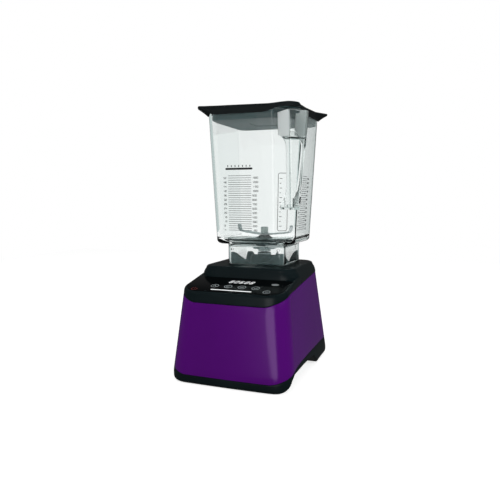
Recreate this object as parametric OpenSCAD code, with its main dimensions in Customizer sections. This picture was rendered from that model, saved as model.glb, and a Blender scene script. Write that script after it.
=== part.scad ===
// Countertop blender: a leaning painted base with a sloped touch panel at the front and a raised jar
// seat at the back, a clear square jar with its handle on one corner, a lid and a vent cap.
// Origin: centre of the footprint at the surface it stands on. +X right, +Y back, +Z up. Millimetres.

/* [Base] */
// Greatest width of the base
base_w = 184; // [180:1:188]
// Greatest depth of the base
base_d = 239.2; // [238:0.2:244]
// Corner radius of the base seen from above
base_r = 28; // [24:1:32]
// Inward lean of the front and the sides per millimetre of height
side_lean = 0.105; // [0.095:0.005:0.11]
// Inward lean of the back per millimetre of height
back_lean = 0.178; // [0.17:0.002:0.18]
// Thickness of the moulded covers
wall = 3; // [2.5:0.5:3]
// Height of the painted shell's lower edge at the front
shell_low_front = 14; // [12:1:16]
// Height of the painted shell's lower edge along the sides
shell_low_side = 31; // [30:1:32]
// Height of the painted shell's upper edge at the front
shell_top_front = 116; // [114:1:117]
// Height of the painted shell's upper edge where the corner ends
shell_top_side = 130; // [129:1:131]
// Height of the painted shell's upper edge at the back
shell_top_back = 145; // [144:1:146]

/* [Control deck] */
// Height of the deck at its front edge
deck_front_z = 131; // [130:1:132]
// Slope of the control deck in degrees
deck_angle = 10.7; // [10:0.1:11]
// Height of the raised jar platform
platform_z = 160; // [160:1:161]
// Width of the touch panel
panel_w = 142; // [138:1:144]
// Length of the touch panel along the slope
panel_l = 58; // [54:1:60]

/* [Jar] */
// Distance of the jar's axis behind the middle of the base
jar_y = 45; // [44:0.5:45]
// Half-width of the jar body at its floor
jar_half_low = 62; // [61:0.5:63]
// Half-width of the jar body at its rim
jar_half_top = 71.5; // [71:0.5:72]
// Height of the underside of the jar's floor
floor_z = 192; // [192:1:193]
// Height of the jar's rim
rim_z = 395.5; // [392:0.5:400]
// Thickness of the jar's walls
jar_wall = 3; // [2.5:0.5:3]
// Half-width of the skirt below the floor
skirt_half = 47.2; // [47:0.1:48]
// Gap between the skirt and the platform
skirt_gap = 0.3; // [0.3:0.1:0.5]

/* [Lid] */
// Half-width of the lid's rim
lid_half = 74; // [74:0.5:74.5]
// Height of the lid's top face
lid_top_z = 402; // [401:1:403]
// Reach of the two lifting ears from the jar's axis
ear_reach = 110; // [106:0.5:110]

/* [Motor] */
// Width of the square motor stator
stator_w = 92; // [90:1:92]
// Radius of the armature
armature_r = 26.5; // [25:0.5:26.5]
// Air gap between armature and stator
air_gap = 0.6; // [0.5:0.1:1]
// Radial running clearance of the shafts in their bearings
running = 0.05; // [0.03:0.01:0.08]

/* [Hidden] */
$fn = 64;
big = 400;
base_foot_z = 1.2;
lean_z0 = shell_low_front;
clear = 0.4;
slice_t = 0.01;

// Half-width, front and back of the leaning body at height z
function body_half(z) = base_w / 2 - side_lean * max(0, z - lean_z0);
function body_front(z) = -base_d / 2 + side_lean * max(0, z - lean_z0);
function body_back(z) = base_d / 2 - back_lean * max(0, z - lean_z0);

// Edge curves of the painted shell in side view: a quick rise round the front corner, then a long run
corner_end_y = -94;
low_edge = [for (u = [0:0.125:1]) [-base_d / 2 + u * (corner_end_y + base_d / 2),
    shell_low_front + (shell_low_side - shell_low_front) * sqrt(u)]];
top_front_y = body_front(shell_top_front);
top_corner_y = -76;
top_edge = [for (u = [0:0.125:1]) [top_front_y + u * (top_corner_y - top_front_y),
    shell_top_front + (shell_top_side - shell_top_front) * pow(u, 0.6)]];

// Height of the painted shell's upper edge on its long run along the sides
function shell_top_at(y) = shell_top_side + (shell_top_back - shell_top_side) * (y - top_corner_y)
  / (body_back(shell_top_back) - top_corner_y);

deck_y0 = -106;
deck_l = 68;
deck_slope = tan(deck_angle);
platform_front = -42;
platform_back = 94;
platform_half = 72;

// Motor levels, from the fan at the bottom to the drive socket at the top
fan_z = 28;
fan_h = 12;
fan_r = 42;
lower_plate_z = 46;
stator_z = 62;
stator_h = 45;
stator_top = stator_z + stator_h;
commutator_z = 112;
commutator_h = 16;
commutator_r = 14;
brush_z = commutator_z + commutator_h / 2;
upper_plate_z = 138;
upper_plate_h = 5;
isolator_h = 6;
boss_z = upper_plate_z + upper_plate_h + isolator_h;
shaft_r = 5;
lower_shaft_r = 4;
socket_z = 152;
socket_top = 179;
socket_r = 11;
mount_xy = 36;
duct_r = 45;

// Blade levels, from the splined end at the bottom to the nut at the top
spline_z = 168;
spline_top = 179;
spline_side = 7.6;
spline_clear = 0.8;
blade_shaft_r = 4;
blade_z = 203.8;
blade_t = 2.6;
blade_half = 49;
blade_turn = -10;
nut_z = blade_z + blade_t;
fifth_d = 70;
fifth_lean = 0.03;

post_xy = [[-62, -84], [62, -84], [-62, 73], [62, 73]];
post_top = 62;
foot_xy = [[-50, -100], [50, -100], [-66, 94], [66, 94]];
switch_x = 46;
switch_z = 66;
rocker_tilt = 8;
gland_x = -46;
gland_z = 19;
gland_bore_r = 3.9;

module rounded_rect(w, d, r) {
  offset(r = r, $fn = 32) square([w - 2 * r, d - 2 * r], center = true);
}

// One thin slice of the leaning body at height z, set inwards by inset
module body_slice(z, inset) {
  front = body_front(z) + inset;
  back = body_back(z) - inset;
  translate([0, (front + back) / 2, z])
    linear_extrude(slice_t)
      rounded_rect(2 * (body_half(z) - inset), back - front, base_r - inset);
}

// The leaning body from z0 to z1, set inwards by inset
module leaning_body(z0, z1, inset) {
  hull() {
    body_slice(z0, inset);
    body_slice(max(z0, lean_z0), inset);
    body_slice(z1, inset);
  }
}

// Carries a side view, drawn in Y and Z, through the full width
module side_view(width = big) {
  rotate([90, 0, 90])
    linear_extrude(width, center = true)
      children();
}

// Puts children on the leaning back face, +Y outwards
module on_back(x, z) {
  translate([x, body_back(z), z])
    rotate([atan(back_lean), 0, 0])
      children();
}

module at(points, z = 0) {
  for (p = points)
    translate([p[0], p[1], z])
      children();
}

module jar_axis() {
  translate([0, jar_y, 0])
    children();
}

// ---- base covers ----

module painted_shell() {
  color([0.27, 0.05, 0.37])
    difference() {
      intersection() {
        leaning_body(lean_z0, shell_top_back + 6, 0);
        side_view()
          polygon(concat(low_edge, [[base_d, shell_low_side], [base_d, shell_top_at(base_d)]],
            [for (i = [len(top_edge) - 1:-1:0]) top_edge[i]], [[-base_d / 2, shell_top_front]]));
      }
      leaning_body(lean_z0 - 1, shell_top_back + 10, wall);
      on_back(switch_x, switch_z)
        cube([13.4, 20, 19.4], center = true);
    }
}

// One thin slice of the jar platform, with its top face at height z
module platform_slice(z, half, front, back, r) {
  translate([0, (front + back) / 2, z - slice_t])
    linear_extrude(slice_t)
      rounded_rect(2 * half, back - front, r);
}

// Raised block that carries the jar, set inwards by inset
module platform(inset) {
  hull() {
    platform_slice(128 - inset, body_half(128) - inset, platform_front - 2 + inset,
      body_back(128) - inset, 26 - inset);
    platform_slice(shell_top_back - inset, body_half(shell_top_back) - inset,
      platform_front - 1 + inset, body_back(shell_top_back) - inset, 26 - inset);
    platform_slice(platform_z - 3 - inset, platform_half - inset, platform_front + 2 + inset,
      platform_back - inset, 22 - inset);
    platform_slice(platform_z - inset, platform_half - 5 - inset, platform_front + 6 + inset,
      platform_back - 1.4 - inset, 20 - inset);
  }
}

module deck_frame() {
  translate([0, deck_y0, deck_front_z])
    rotate([deck_angle, 0, 0])
      children();
}

module top_housing() {
  boss_xy = [for (x = [-mount_xy, mount_xy], y = [-mount_xy, mount_xy]) [x, jar_y + y]];
  color([0.05, 0.06, 0.06])
    difference() {
      union() {
        difference() {
          union() {
            intersection() {
              leaning_body(lean_z0, platform_z, 0);
              side_view()
                polygon(concat(top_edge, [[base_d, shell_top_at(base_d)], [base_d, 165],
                  [platform_back, 150],
                  [platform_front, deck_front_z + 1 + deck_slope * (platform_front - deck_y0)],
                  [deck_y0 + 1, deck_front_z + 1], [body_front(deck_front_z), deck_front_z - 2],
                  [-base_d / 2, shell_top_front]]));
            }
            intersection() {
              platform(0);
              side_view()
                polygon([[platform_front - 4, shell_top_at(platform_front - 4)],
                  [base_d, shell_top_at(base_d)], [base_d, 200], [platform_front - 4, 200]]);
            }
          }
          intersection() {
            leaning_body(lean_z0, platform_z, wall);
            side_view()
              polygon([[-base_d, 0], [base_d, 0], [base_d, 147],
                [platform_front, deck_front_z - wall + deck_slope * (platform_front - deck_y0)],
                [deck_y0, deck_front_z - wall], [-base_d, deck_front_z - wall]]);
          }
          platform(wall);
        }
        at(boss_xy, boss_z)
          cylinder(r = 7, h = platform_z - wall - boss_z + 1);
        at([post_xy[0], post_xy[1]], post_top)
          cylinder(r = 5, h = deck_front_z + 3 - post_top);
        at([post_xy[2], post_xy[3]], post_top)
          cylinder(r = 5, h = platform_z - wall - post_top + 1);
      }
      // Recess for the touch panel and the window for the display behind it
      deck_frame()
        translate([0, deck_l / 2 - 1, 0])
          linear_extrude(20)
            rounded_rect(panel_w, panel_l, 9);
      deck_frame()
        translate([-50, 16, -10])
          cube([100, 34, 20]);
      // Hole for the drive socket
      translate([0, jar_y, platform_z - 10])
        cylinder(r = socket_r + 2, h = 20);
      at(boss_xy, boss_z - 1)
        cylinder(r = 2.4, h = 9);
      at(post_xy, post_top - 1)
        cylinder(r = 1.8, h = 18);
    }
}

module control_panel() {
  color([0.02, 0.02, 0.03])
    deck_frame()
      translate([0, deck_l / 2 - 1, 0])
        linear_extrude(1.2)
          rounded_rect(panel_w - 0.6, panel_l - 0.6, 8.7);
}

module touch_board() {
  color([0.1, 0.35, 0.2])
    deck_frame()
      translate([-54, 14, -wall - 1.6])
        cube([108, 38, 1.6]);
}

module display_module() {
  color([0.15, 0.15, 0.16])
    deck_frame()
      translate([-20, 32, -wall])
        cube([40, 14, wall - 0.2]);
}

module power_board() {
  color([0.12, 0.38, 0.22])
    translate([-60, -72, base_foot_z + 4])
      cube([120, 1.6, 84]);
}

module board_heat_sink() {
  color("silver")
    translate([-50, -70.4, 40]) {
      cube([40, 3, 34]);
      for (i = [0:5])
        translate([i * 7.4, 3, 0])
          cube([3, 12, 34]);
    }
}

module board_capacitors() {
  color([0.2, 0.2, 0.35])
    for (x = [14, 38])
      translate([x, -70.4, 52])
        rotate([-90, 0, 0])
          cylinder(r = 9, h = 22);
}

// Side view of the hand grip cut into each side of the pan
module grip_view() {
  polygon([[-101, -5], [-98.5, 12], [-94, 19], [-85, 22.6], [-58, 22.6], [-20, 20.4], [0, 15.5],
    [24, 7.5], [46, -5]]);
}

module grip_cut(extra) {
  for (s = [-1, 1])
    translate([s * (73 - extra + 50), 0, 0])
      side_view(100)
        offset(delta = extra)
          grip_view();
}

module base_pan() {
  color([0.05, 0.06, 0.06])
    difference() {
      union() {
        difference() {
          intersection() {
            hull() {
              body_slice(base_foot_z, 3);
              body_slice(base_foot_z + 3.2, 0);
              body_slice(lean_z0, 0);
              body_slice(shell_low_side + 1, 0);
            }
            side_view()
              polygon(concat([[-base_d, 0], [-base_d, shell_low_front]], low_edge,
                [[base_d, shell_low_side], [base_d, 0]]));
          }
          grip_cut(0);
          difference() {
            leaning_body(base_foot_z + 4, shell_low_side + 10, wall + 1);
            grip_cut(wall);
          }
        }
        at(post_xy, base_foot_z + 1)
          cylinder(r = 5, h = post_top - base_foot_z - 1);
        // Slotted blocks that hold the power board upright
        for (x = [-61, 53])
          translate([x, 0, base_foot_z + 1])
            difference() {
              translate([0, -75, 0])
                cube([8, 8, 14]);
              translate([-1, -72.1, 3])
                cube([10, 1.8, 20]);
            }
      }
      at(post_xy, -1) {
        cylinder(r = 2.2, h = post_top + 2);
        cylinder(r = 4.2, h = 6.2);
      }
      at(foot_xy, -1)
        cylinder(r = 9, h = 3.6);
      // Air outlet under the fan and air inlet at the front
      jar_axis()
        for (a = [0:20:340])
          rotate([0, 0, a])
            translate([18, -2, 0])
              cube([22, 4, 10]);
      for (x = [-36:9:36])
        translate([x - 2, -66, 0])
          cube([4, 30, 10]);
      translate([gland_x, 100, gland_z])
        rotate([-90, 0, 0])
          cylinder(r = 8, h = 40);
    }
}

module rubber_feet() {
  color([0.12, 0.12, 0.12])
    at(foot_xy)
      cylinder(r = 9, h = 2.6);
}

module housing_screws() {
  color("silver")
    at(post_xy, 2.2) {
      cylinder(r = 3.9, h = 2.9);
      cylinder(r = 1.8, h = 74);
    }
}

module cord_gland() {
  color([0.1, 0.1, 0.1])
    translate([gland_x, 0, gland_z])
      rotate([-90, 0, 0])
        difference() {
          union() {
            translate([0, 0, 104])
              cylinder(r = 8, h = 14);
            translate([0, 0, 109])
              cylinder(r = 10.5, h = 3);
          }
          translate([0, 0, 100])
            cylinder(r = gland_bore_r, h = 30);
        }
}

module switch_body() {
  color([0.08, 0.08, 0.08])
    on_back(switch_x, switch_z)
      difference() {
        union() {
          translate([0, -8, 0])
            cube([13, 18, 19], center = true);
          translate([0, 0.8, 0])
            cube([15.5, 1.6, 21.5], center = true);
        }
        translate([0, -2, 0])
          cube([9, 10, 16], center = true);
        translate([0, -1, 0])
          rotate([0, 90, 0])
            cylinder(r = 1.2 + running, h = 11, center = true);
      }
}

module power_rocker() {
  color([0.1, 0.1, 0.1])
    on_back(switch_x, switch_z)
      translate([0, -1, 0])
        rotate([rocker_tilt, 0, 0]) {
          rotate([90, 0, 90])
            linear_extrude(8.2, center = true)
              polygon([[-3, -5], [-3, 5], [2, 7], [3.6, 7], [2.6, 0], [3.6, -7], [2, -7]]);
          rotate([0, 90, 0])
            cylinder(r = 1.2, h = 10.6, center = true);
        }
}

// ---- jar seat ----

module jar_seat_pad() {
  half = skirt_half - jar_wall - clear;
  chord = 36;
  rise = 15;
  scallop_r = (chord * chord + rise * rise) / (2 * rise);
  color([0.32, 0.4, 0.41])
    jar_axis()
      translate([0, 0, platform_z])
        difference() {
          linear_extrude(18)
            rounded_rect(2 * half, 2 * half, 7);
          for (a = [0, 90])
            translate([0, 0, 3 + scallop_r])
              rotate([90, 0, a])
                cylinder(r = scallop_r, h = big, center = true, $fn = 128);
          translate([0, 0, -1])
            cylinder(r = 17, h = 40);
        }
}

// ---- motor, fixed pieces ----

module air_duct() {
  color([0.25, 0.25, 0.26])
    jar_axis()
      translate([0, 0, base_foot_z + 4])
        difference() {
          cylinder(r = duct_r + 2, h = 39);
          translate([0, 0, -1])
            cylinder(r = duct_r, h = 41);
        }
}

module corner_mounts(z) {
  for (x = [-mount_xy, mount_xy], y = [-mount_xy, mount_xy])
    translate([x, jar_y + y, z])
      children();
}

module motor_isolators() {
  color([0.15, 0.15, 0.15])
    corner_mounts(upper_plate_z + upper_plate_h)
      difference() {
        cylinder(r = 8, h = isolator_h);
        translate([0, 0, -1])
          cylinder(r = 2.6, h = isolator_h + 2);
      }
}

module isolator_screws() {
  color("silver")
    corner_mounts(upper_plate_z - 3) {
      cylinder(r = 4.5, h = 3);
      cylinder(r = 2.4, h = 18);
    }
}

module upper_bracket() {
  color([0.6, 0.6, 0.62])
    difference() {
      union() {
        translate([0, jar_y, upper_plate_z])
          linear_extrude(upper_plate_h)
            rounded_rect(stator_w, stator_w, 10);
        translate([0, jar_y, upper_plate_z])
          cylinder(r = 19, h = 12);
        for (x = [-mount_xy, mount_xy], y = [-18, 18])
          translate([x, jar_y + y, stator_top])
            cylinder(r = 5, h = upper_plate_z - stator_top + 1);
      }
      translate([0, jar_y, upper_plate_z + 3])
        cylinder(r = 15, h = 20);
      translate([0, jar_y, upper_plate_z - 1])
        cylinder(r = 8, h = 20);
      corner_mounts(upper_plate_z - 1)
        cylinder(r = 2.6, h = 10);
    }
}

module bearing(outer_r, bore_r, h) {
  difference() {
    cylinder(r = outer_r, h = h);
    translate([0, 0, -1])
      cylinder(r = bore_r + running, h = h + 2);
  }
}

module upper_bearing() {
  color("lightgray")
    translate([0, jar_y, upper_plate_z + 3])
      bearing(15, shaft_r, 9);
}

module lower_bracket() {
  color([0.6, 0.6, 0.62])
    difference() {
      union() {
        translate([-stator_w / 2, jar_y - 15, lower_plate_z])
          cube([stator_w, 30, 5]);
        translate([0, jar_y, lower_plate_z - 2])
          cylinder(r = 15, h = 9);
        for (x = [-40, 40])
          translate([x, jar_y, lower_plate_z + 4])
            cylinder(r = 5, h = stator_z - lower_plate_z - 4);
      }
      translate([0, jar_y, lower_plate_z])
        cylinder(r = 11, h = 20);
      translate([0, jar_y, 0])
        cylinder(r = 6, h = 80);
      for (x = [-40, 40])
        translate([x, jar_y, 0])
          cylinder(r = 2, h = 80);
    }
}

module lower_bearing() {
  color("lightgray")
    translate([0, jar_y, lower_plate_z])
      bearing(11, lower_shaft_r, 7);
}

module stator_core() {
  color([0.4, 0.4, 0.42])
    translate([0, jar_y, stator_z])
      difference() {
        linear_extrude(stator_h)
          rounded_rect(stator_w, stator_w, 12);
        translate([0, 0, -1])
          cylinder(r = armature_r + air_gap, h = stator_h + 2);
        for (x = [-40, 40])
          translate([x, 0, -1])
            cylinder(r = 2, h = stator_h + 2);
      }
}

module field_windings() {
  color([0.72, 0.4, 0.2])
    for (s = [-1, 1], z = [stator_z - 7, stator_top])
      translate([0, jar_y + s * 35, z + 3.5])
        difference() {
          cube([52, 13, 7], center = true);
          cube([30, 4, 9], center = true);
        }
}

module stator_bolts() {
  color("silver")
    for (x = [-40, 40])
      translate([x, jar_y, lower_plate_z - 3]) {
        cylinder(r = 4, h = 3);
        cylinder(r = 2, h = stator_top - lower_plate_z + 3);
      }
}

module brush_side() {
  for (s = [0, 180])
    translate([0, jar_y, brush_z])
      rotate([0, 0, s])
        children();
}

module brush_holders() {
  color([0.5, 0.4, 0.2])
    brush_side() {
      difference() {
        translate([18, -6, -5])
          cube([24, 12, 10]);
        translate([17, -4, -3])
          cube([23, 8, 6]);
      }
      translate([30, -4, 5])
        cube([10, 8, upper_plate_z - brush_z - 5]);
    }
}

module brush_springs() {
  color("silver")
    brush_side()
      for (i = [0:3])
        translate([31 + i * 2.4, 0, 0])
          rotate([0, 90, 0])
            difference() {
              cylinder(r = 2.6, h = 1.2);
              translate([0, 0, -1])
                cylinder(r = 1.8, h = 4);
            }
}

module carbon_brushes() {
  color([0.1, 0.1, 0.1])
    brush_side()
      translate([commutator_r + 0.4, -4, -3])
        cube([16, 8, 6]);
}

// ---- motor, turning pieces ----

module motor_shaft() {
  color("silver")
    jar_axis() {
      translate([0, 0, fan_z - 2])
        cylinder(r = lower_shaft_r, h = stator_z - 4 - fan_z + 3);
      translate([0, 0, stator_z - 4])
        cylinder(r = shaft_r, h = 165 - stator_z + 4);
    }
}

module armature_core() {
  color([0.45, 0.45, 0.47])
    translate([0, jar_y, stator_z])
      difference() {
        cylinder(r = armature_r, h = stator_h);
        translate([0, 0, -1])
          cylinder(r = shaft_r, h = stator_h + 2);
        for (a = [0:30:330])
          rotate([0, 0, a])
            translate([armature_r - 4, -1.2, -1])
              cube([10, 2.4, stator_h + 2]);
      }
}

module armature_windings() {
  color([0.72, 0.4, 0.2])
    jar_axis()
      for (z = [stator_z - 4, stator_top])
        translate([0, 0, z])
          difference() {
            cylinder(r = armature_r - 5, h = 4);
            translate([0, 0, -1])
              cylinder(r = shaft_r, h = 8);
          }
}

module commutator() {
  color([0.75, 0.45, 0.25])
    translate([0, jar_y, commutator_z])
      difference() {
        cylinder(r = commutator_r, h = commutator_h);
        translate([0, 0, -1])
          cylinder(r = shaft_r, h = commutator_h + 2);
        for (a = [0:15:345])
          rotate([0, 0, a])
            translate([commutator_r - 1, -0.3, -1])
              cube([3, 0.6, commutator_h + 2]);
      }
}

module cooling_fan() {
  color([0.2, 0.2, 0.2])
    translate([0, jar_y, fan_z])
      difference() {
        union() {
          cylinder(r = 10, h = fan_h);
          translate([0, 0, fan_h - 2])
            cylinder(r = fan_r, h = 2);
          for (a = [0:36:324])
            rotate([0, 0, a])
              translate([9, 0, 0])
                rotate([0, 0, 18])
                  cube([fan_r - 13, 2, fan_h - 1]);
        }
        translate([0, 0, -1])
          cylinder(r = lower_shaft_r, h = fan_h + 2);
      }
}

// Twelve-point spline section made of three turned squares
module spline_section(side) {
  for (a = [0, 30, 60])
    rotate(a)
      square(side, center = true);
}

module drive_socket() {
  color([0.75, 0.75, 0.77])
    translate([0, jar_y, socket_z])
      difference() {
        union() {
          cylinder(r = socket_r - 2, h = socket_top - socket_z);
          translate([0, 0, 6])
            cylinder(r = socket_r, h = socket_top - socket_z - 6);
        }
        translate([0, 0, -1])
          cylinder(r = shaft_r, h = 165 - socket_z + 1);
        translate([0, 0, 15])
          linear_extrude(20)
            spline_section(spline_side + spline_clear);
      }
}

// ---- jar ----

// Outline of the jar: a rounded square with its front right corner cut flat, facing the handle
module jar_outline(half, flat_d, r) {
  offset(r = 6, $fn = 32)
    offset(delta = -6)
      intersection() {
        rounded_rect(2 * half, 2 * half, r);
        rotate(-45)
          translate([-big / 2, -big / 2])
            square([big / 2 + flat_d, big]);
      }
}

function jar_half(z) = jar_half_low + (jar_half_top - jar_half_low) * (z - floor_z) / (rim_z - floor_z);
function flat_dist(z) = fifth_d + fifth_lean * (z - floor_z);

module jar_slice(z, inset) {
  translate([0, 0, z])
    linear_extrude(slice_t)
      jar_outline(jar_half(z) - inset, flat_dist(z) - inset, 16 - inset / 2);
}

// Side view of the handle: distance from the jar's axis across, height up
module handle_side_view() {
  difference() {
    polygon([[69, 246], [104, 246], [113, 387.5], [73, 387.5]]);
    polygon([[60, 264], [88, 266], [91.5, 272], [96.5, 336], [92, 345], [82, 353], [60, 362]]);
  }
}

// Front view of the handle: wide at the top, narrow at the bottom
module handle_front_view(inset) {
  offset(r = 4 - inset, $fn = 32)
    offset(delta = -4)
      polygon([[-8, 240], [8, 240], [16.5, 387.5], [-16.5, 387.5]]);
}

module along_corner() {
  rotate([0, 0, -45])
    children();
}

module extrude_side(width) {
  rotate([90, 0, 0])
    linear_extrude(width, center = true)
      children();
}

module extrude_out(d0, d1) {
  translate([d0, 0, 0])
    rotate([90, 0, 90])
      linear_extrude(d1 - d0)
        children();
}

module handle() {
  along_corner()
    difference() {
      intersection() {
        extrude_side(60)
          handle_side_view();
        extrude_out(60, 120)
          handle_front_view(0);
      }
      // Hollow behind the outer face, with a floor at the top of the finger gap
      intersection() {
        extrude_out(60, 120)
          handle_front_view(wall);
        extrude_side(60) {
          polygon([[60, 366], [84, 357], [94, 348.5], [107.6, 348.5], [110.6, 400], [60, 400]]);
          polygon([[60, 252], [101.4, 252], [107.2, 345], [60, 345]]);
        }
      }
    }
}

module jar() {
  color([0.85, 0.9, 0.9, 0.45])
    jar_axis()
      difference() {
        union() {
          hull() {
            jar_slice(floor_z, 4.5);
            jar_slice(floor_z + 4.5, 0);
            jar_slice(rim_z - slice_t, 0);
          }
          translate([0, 0, platform_z + skirt_gap])
            linear_extrude(floor_z - platform_z - skirt_gap + 1)
              rounded_rect(2 * skirt_half, 2 * skirt_half, 10);
          handle();
        }
        hull() {
          jar_slice(floor_z + 4, 9);
          jar_slice(floor_z + 9, jar_wall);
          jar_slice(rim_z + 1, jar_wall);
        }
        // Inside of the skirt, round its hub boss
        difference() {
          translate([0, 0, platform_z - 1])
            linear_extrude(floor_z - platform_z + 1)
              rounded_rect(2 * (skirt_half - jar_wall), 2 * (skirt_half - jar_wall), 7);
          translate([0, 0, 188.7])
            cylinder(r = 19, h = 10);
        }
        translate([0, 0, 180])
          cylinder(r = 12, h = 30);
        // Drain holes near the top of the skirt's corners
        for (x = [-38, 38])
          translate([x, 0, 188])
            rotate([90, 0, 0])
              cylinder(r = 2, h = 2 * skirt_half + 20, center = true);
      }
}

module bearing_housing() {
  color([0.35, 0.4, 0.41])
    jar_axis()
      difference() {
        union() {
          translate([0, 0, 183])
            cylinder(r = 12, h = 13.5);
          translate([0, 0, floor_z + 4])
            cylinder(r1 = 15.2, r2 = 8.3, h = 7);
        }
        translate([0, 0, 180])
          cylinder(r = 8, h = 18.5);
        translate([0, 0, 180])
          cylinder(r = 6, h = 40);
      }
}

module blade_bearings() {
  color("lightgray")
    jar_axis()
      for (z = [184.5, 193.2])
        translate([0, 0, z])
          bearing(8, blade_shaft_r, 5);
}

module shaft_seal() {
  color([0.12, 0.12, 0.12])
    translate([0, jar_y, 199])
      bearing(6, blade_shaft_r, 3.6);
}

module retaining_nut() {
  color("silver")
    translate([0, jar_y, 182.8])
      difference() {
        cylinder(r = 19, h = 5.9);
        translate([0, 0, -1])
          cylinder(r = 12, h = 10);
        for (a = [0:60:300])
          rotate([0, 0, a])
            translate([17, -2, -1])
              cube([6, 4, 9]);
      }
}

// ---- blade ----

module blade_shaft() {
  color("silver")
    jar_axis()
      union() {
        translate([0, 0, spline_z])
          linear_extrude(spline_top + 1 - spline_z)
            spline_section(spline_side);
        translate([0, 0, spline_top + 0.5])
          cylinder(r = 5, h = 4);
        translate([0, 0, spline_top])
          cylinder(r = blade_shaft_r, h = 214 - spline_top);
      }
}

// Side view of one half of the blade: flat hub, rising arm, upturned tip
module blade_side_view() {
  polygon([[-1, 0], [10, 0], [45, 3.4], [47.4, 5.4], [blade_half, 15.5], [blade_half - 2.4, 16],
    [45, 7.4], [44, 5.9], [10, blade_t], [-1, blade_t]]);
}

// Plan of the blade: round hub and two arms that narrow to rounded tips
module blade_plan() {
  circle(r = 10);
  for (s = [0, 180])
    rotate(s)
      polygon([[0, -7.5], [30, -7], [blade_half + 1, -5], [blade_half + 1, 5.5], [30, 7], [0, 7.5]]);
}

module blade() {
  color([0.55, 0.57, 0.58])
    translate([0, jar_y, blade_z])
      rotate([0, 0, blade_turn])
        difference() {
          intersection() {
            for (s = [0, 180])
              rotate([0, 0, s])
                rotate([90, 0, 0])
                  linear_extrude(40, center = true)
                    blade_side_view();
            linear_extrude(30)
              blade_plan();
          }
          translate([0, 0, -1])
            cylinder(r = blade_shaft_r, h = 10);
        }
}

module blade_nut() {
  color([0.4, 0.42, 0.43])
    translate([0, jar_y, nut_z])
      difference() {
        cylinder(r = 6, h = 10);
        translate([0, 0, -1])
          cylinder(r = blade_shaft_r, h = 214 - nut_z + 1);
      }
}

// ---- lid ----

module ear(angle) {
  rotate([0, 0, angle])
    hull() {
      translate([ear_reach - 6, 0, lid_top_z - 3.5])
        cylinder(r = 6, h = 3, $fn = 24);
      translate([78, 0, lid_top_z - 4])
        linear_extrude(3.9)
          square([16, 44], center = true);
      translate([88, 0, lid_top_z - 14])
        linear_extrude(3)
          square([4, 16], center = true);
    }
}

module lid_shell() {
  ear_angle = atan2(73.3, 84.5);
  color([0.03, 0.03, 0.03])
    jar_axis()
      difference() {
        union() {
          translate([0, 0, lid_top_z - 14])
            linear_extrude(14)
              rounded_rect(2 * lid_half, 2 * lid_half, 17);
          ear(ear_angle);
          ear(ear_angle + 180);
        }
        translate([0, 0, lid_top_z - 20])
          linear_extrude(17)
            rounded_rect(2 * (lid_half - 1.9), 2 * (lid_half - 1.9), 16);
        translate([0, 0, lid_top_z - 10])
          cylinder(r = 27, h = 20);
        // The rim is cut back over the handle
        along_corner()
          translate([66, -40, lid_top_z - 20])
            cube([60, 80, 12.5]);
      }
}

module lid_plug() {
  half = jar_half(380) - jar_wall - 0.6;
  flat_d = flat_dist(380) - jar_wall - 0.6;
  color([0.33, 0.42, 0.43])
    jar_axis()
      difference() {
        union() {
          translate([0, 0, 380])
            linear_extrude(19)
              jar_outline(half, flat_d, 14);
          translate([0, 0, rim_z + 0.4])
            linear_extrude(lid_top_z - 3 - rim_z - 0.4)
              jar_outline(lid_half - 2.2, flat_dist(rim_z), 17);
        }
        translate([0, 0, 383])
          linear_extrude(30)
            difference() {
              jar_outline(half - 3, flat_d - 3, 12);
              circle(r = 30);
            }
        translate([0, 0, 370])
          cylinder(r = 25, h = 40);
      }
}

module vent_cap() {
  color([0.06, 0.06, 0.06])
    translate([0, jar_y, 0])
      difference() {
        union() {
          translate([0, 0, 384])
            cylinder(r = 24.6, h = lid_top_z - 384 + 1);
          translate([0, 0, lid_top_z + 0.05])
            cylinder(r = 32, h = 3.5);
        }
        translate([0, 0, 380])
          cylinder(r = 21.6, h = lid_top_z - 380);
        for (a = [0:45:315])
          rotate([0, 0, a])
            translate([12, -1.5, lid_top_z - 5])
              cube([7, 3, 20]);
      }
}

painted_shell();
top_housing();
control_panel();
touch_board();
display_module();
power_board();
board_heat_sink();
board_capacitors();
base_pan();
rubber_feet();
housing_screws();
cord_gland();
switch_body();
power_rocker();
jar_seat_pad();
air_duct();
motor_isolators();
isolator_screws();
upper_bracket();
upper_bearing();
lower_bracket();
lower_bearing();
stator_core();
field_windings();
stator_bolts();
brush_holders();
brush_springs();
carbon_brushes();
motor_shaft();
armature_core();
armature_windings();
commutator();
cooling_fan();
drive_socket();
jar();
bearing_housing();
blade_bearings();
shaft_seal();
retaining_nut();
blade_shaft();
blade();
blade_nut();
lid_shell();
lid_plug();
vent_cap();
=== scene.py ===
"""The looks of a countertop blender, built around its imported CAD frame.

Shapes are drawn in millimetres in the CAD's own frame (+X right, +Y back, +Z up) and become metres in
to_object(). Sections: numbers from the frame, shape tools, materials, base, jar, hub and blade, lid,
carried-over CAD nodes, stage, lights and camera.
"""
import math
from functools import partial

import bmesh
import bpy
from mathutils import Matrix, Vector


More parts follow.
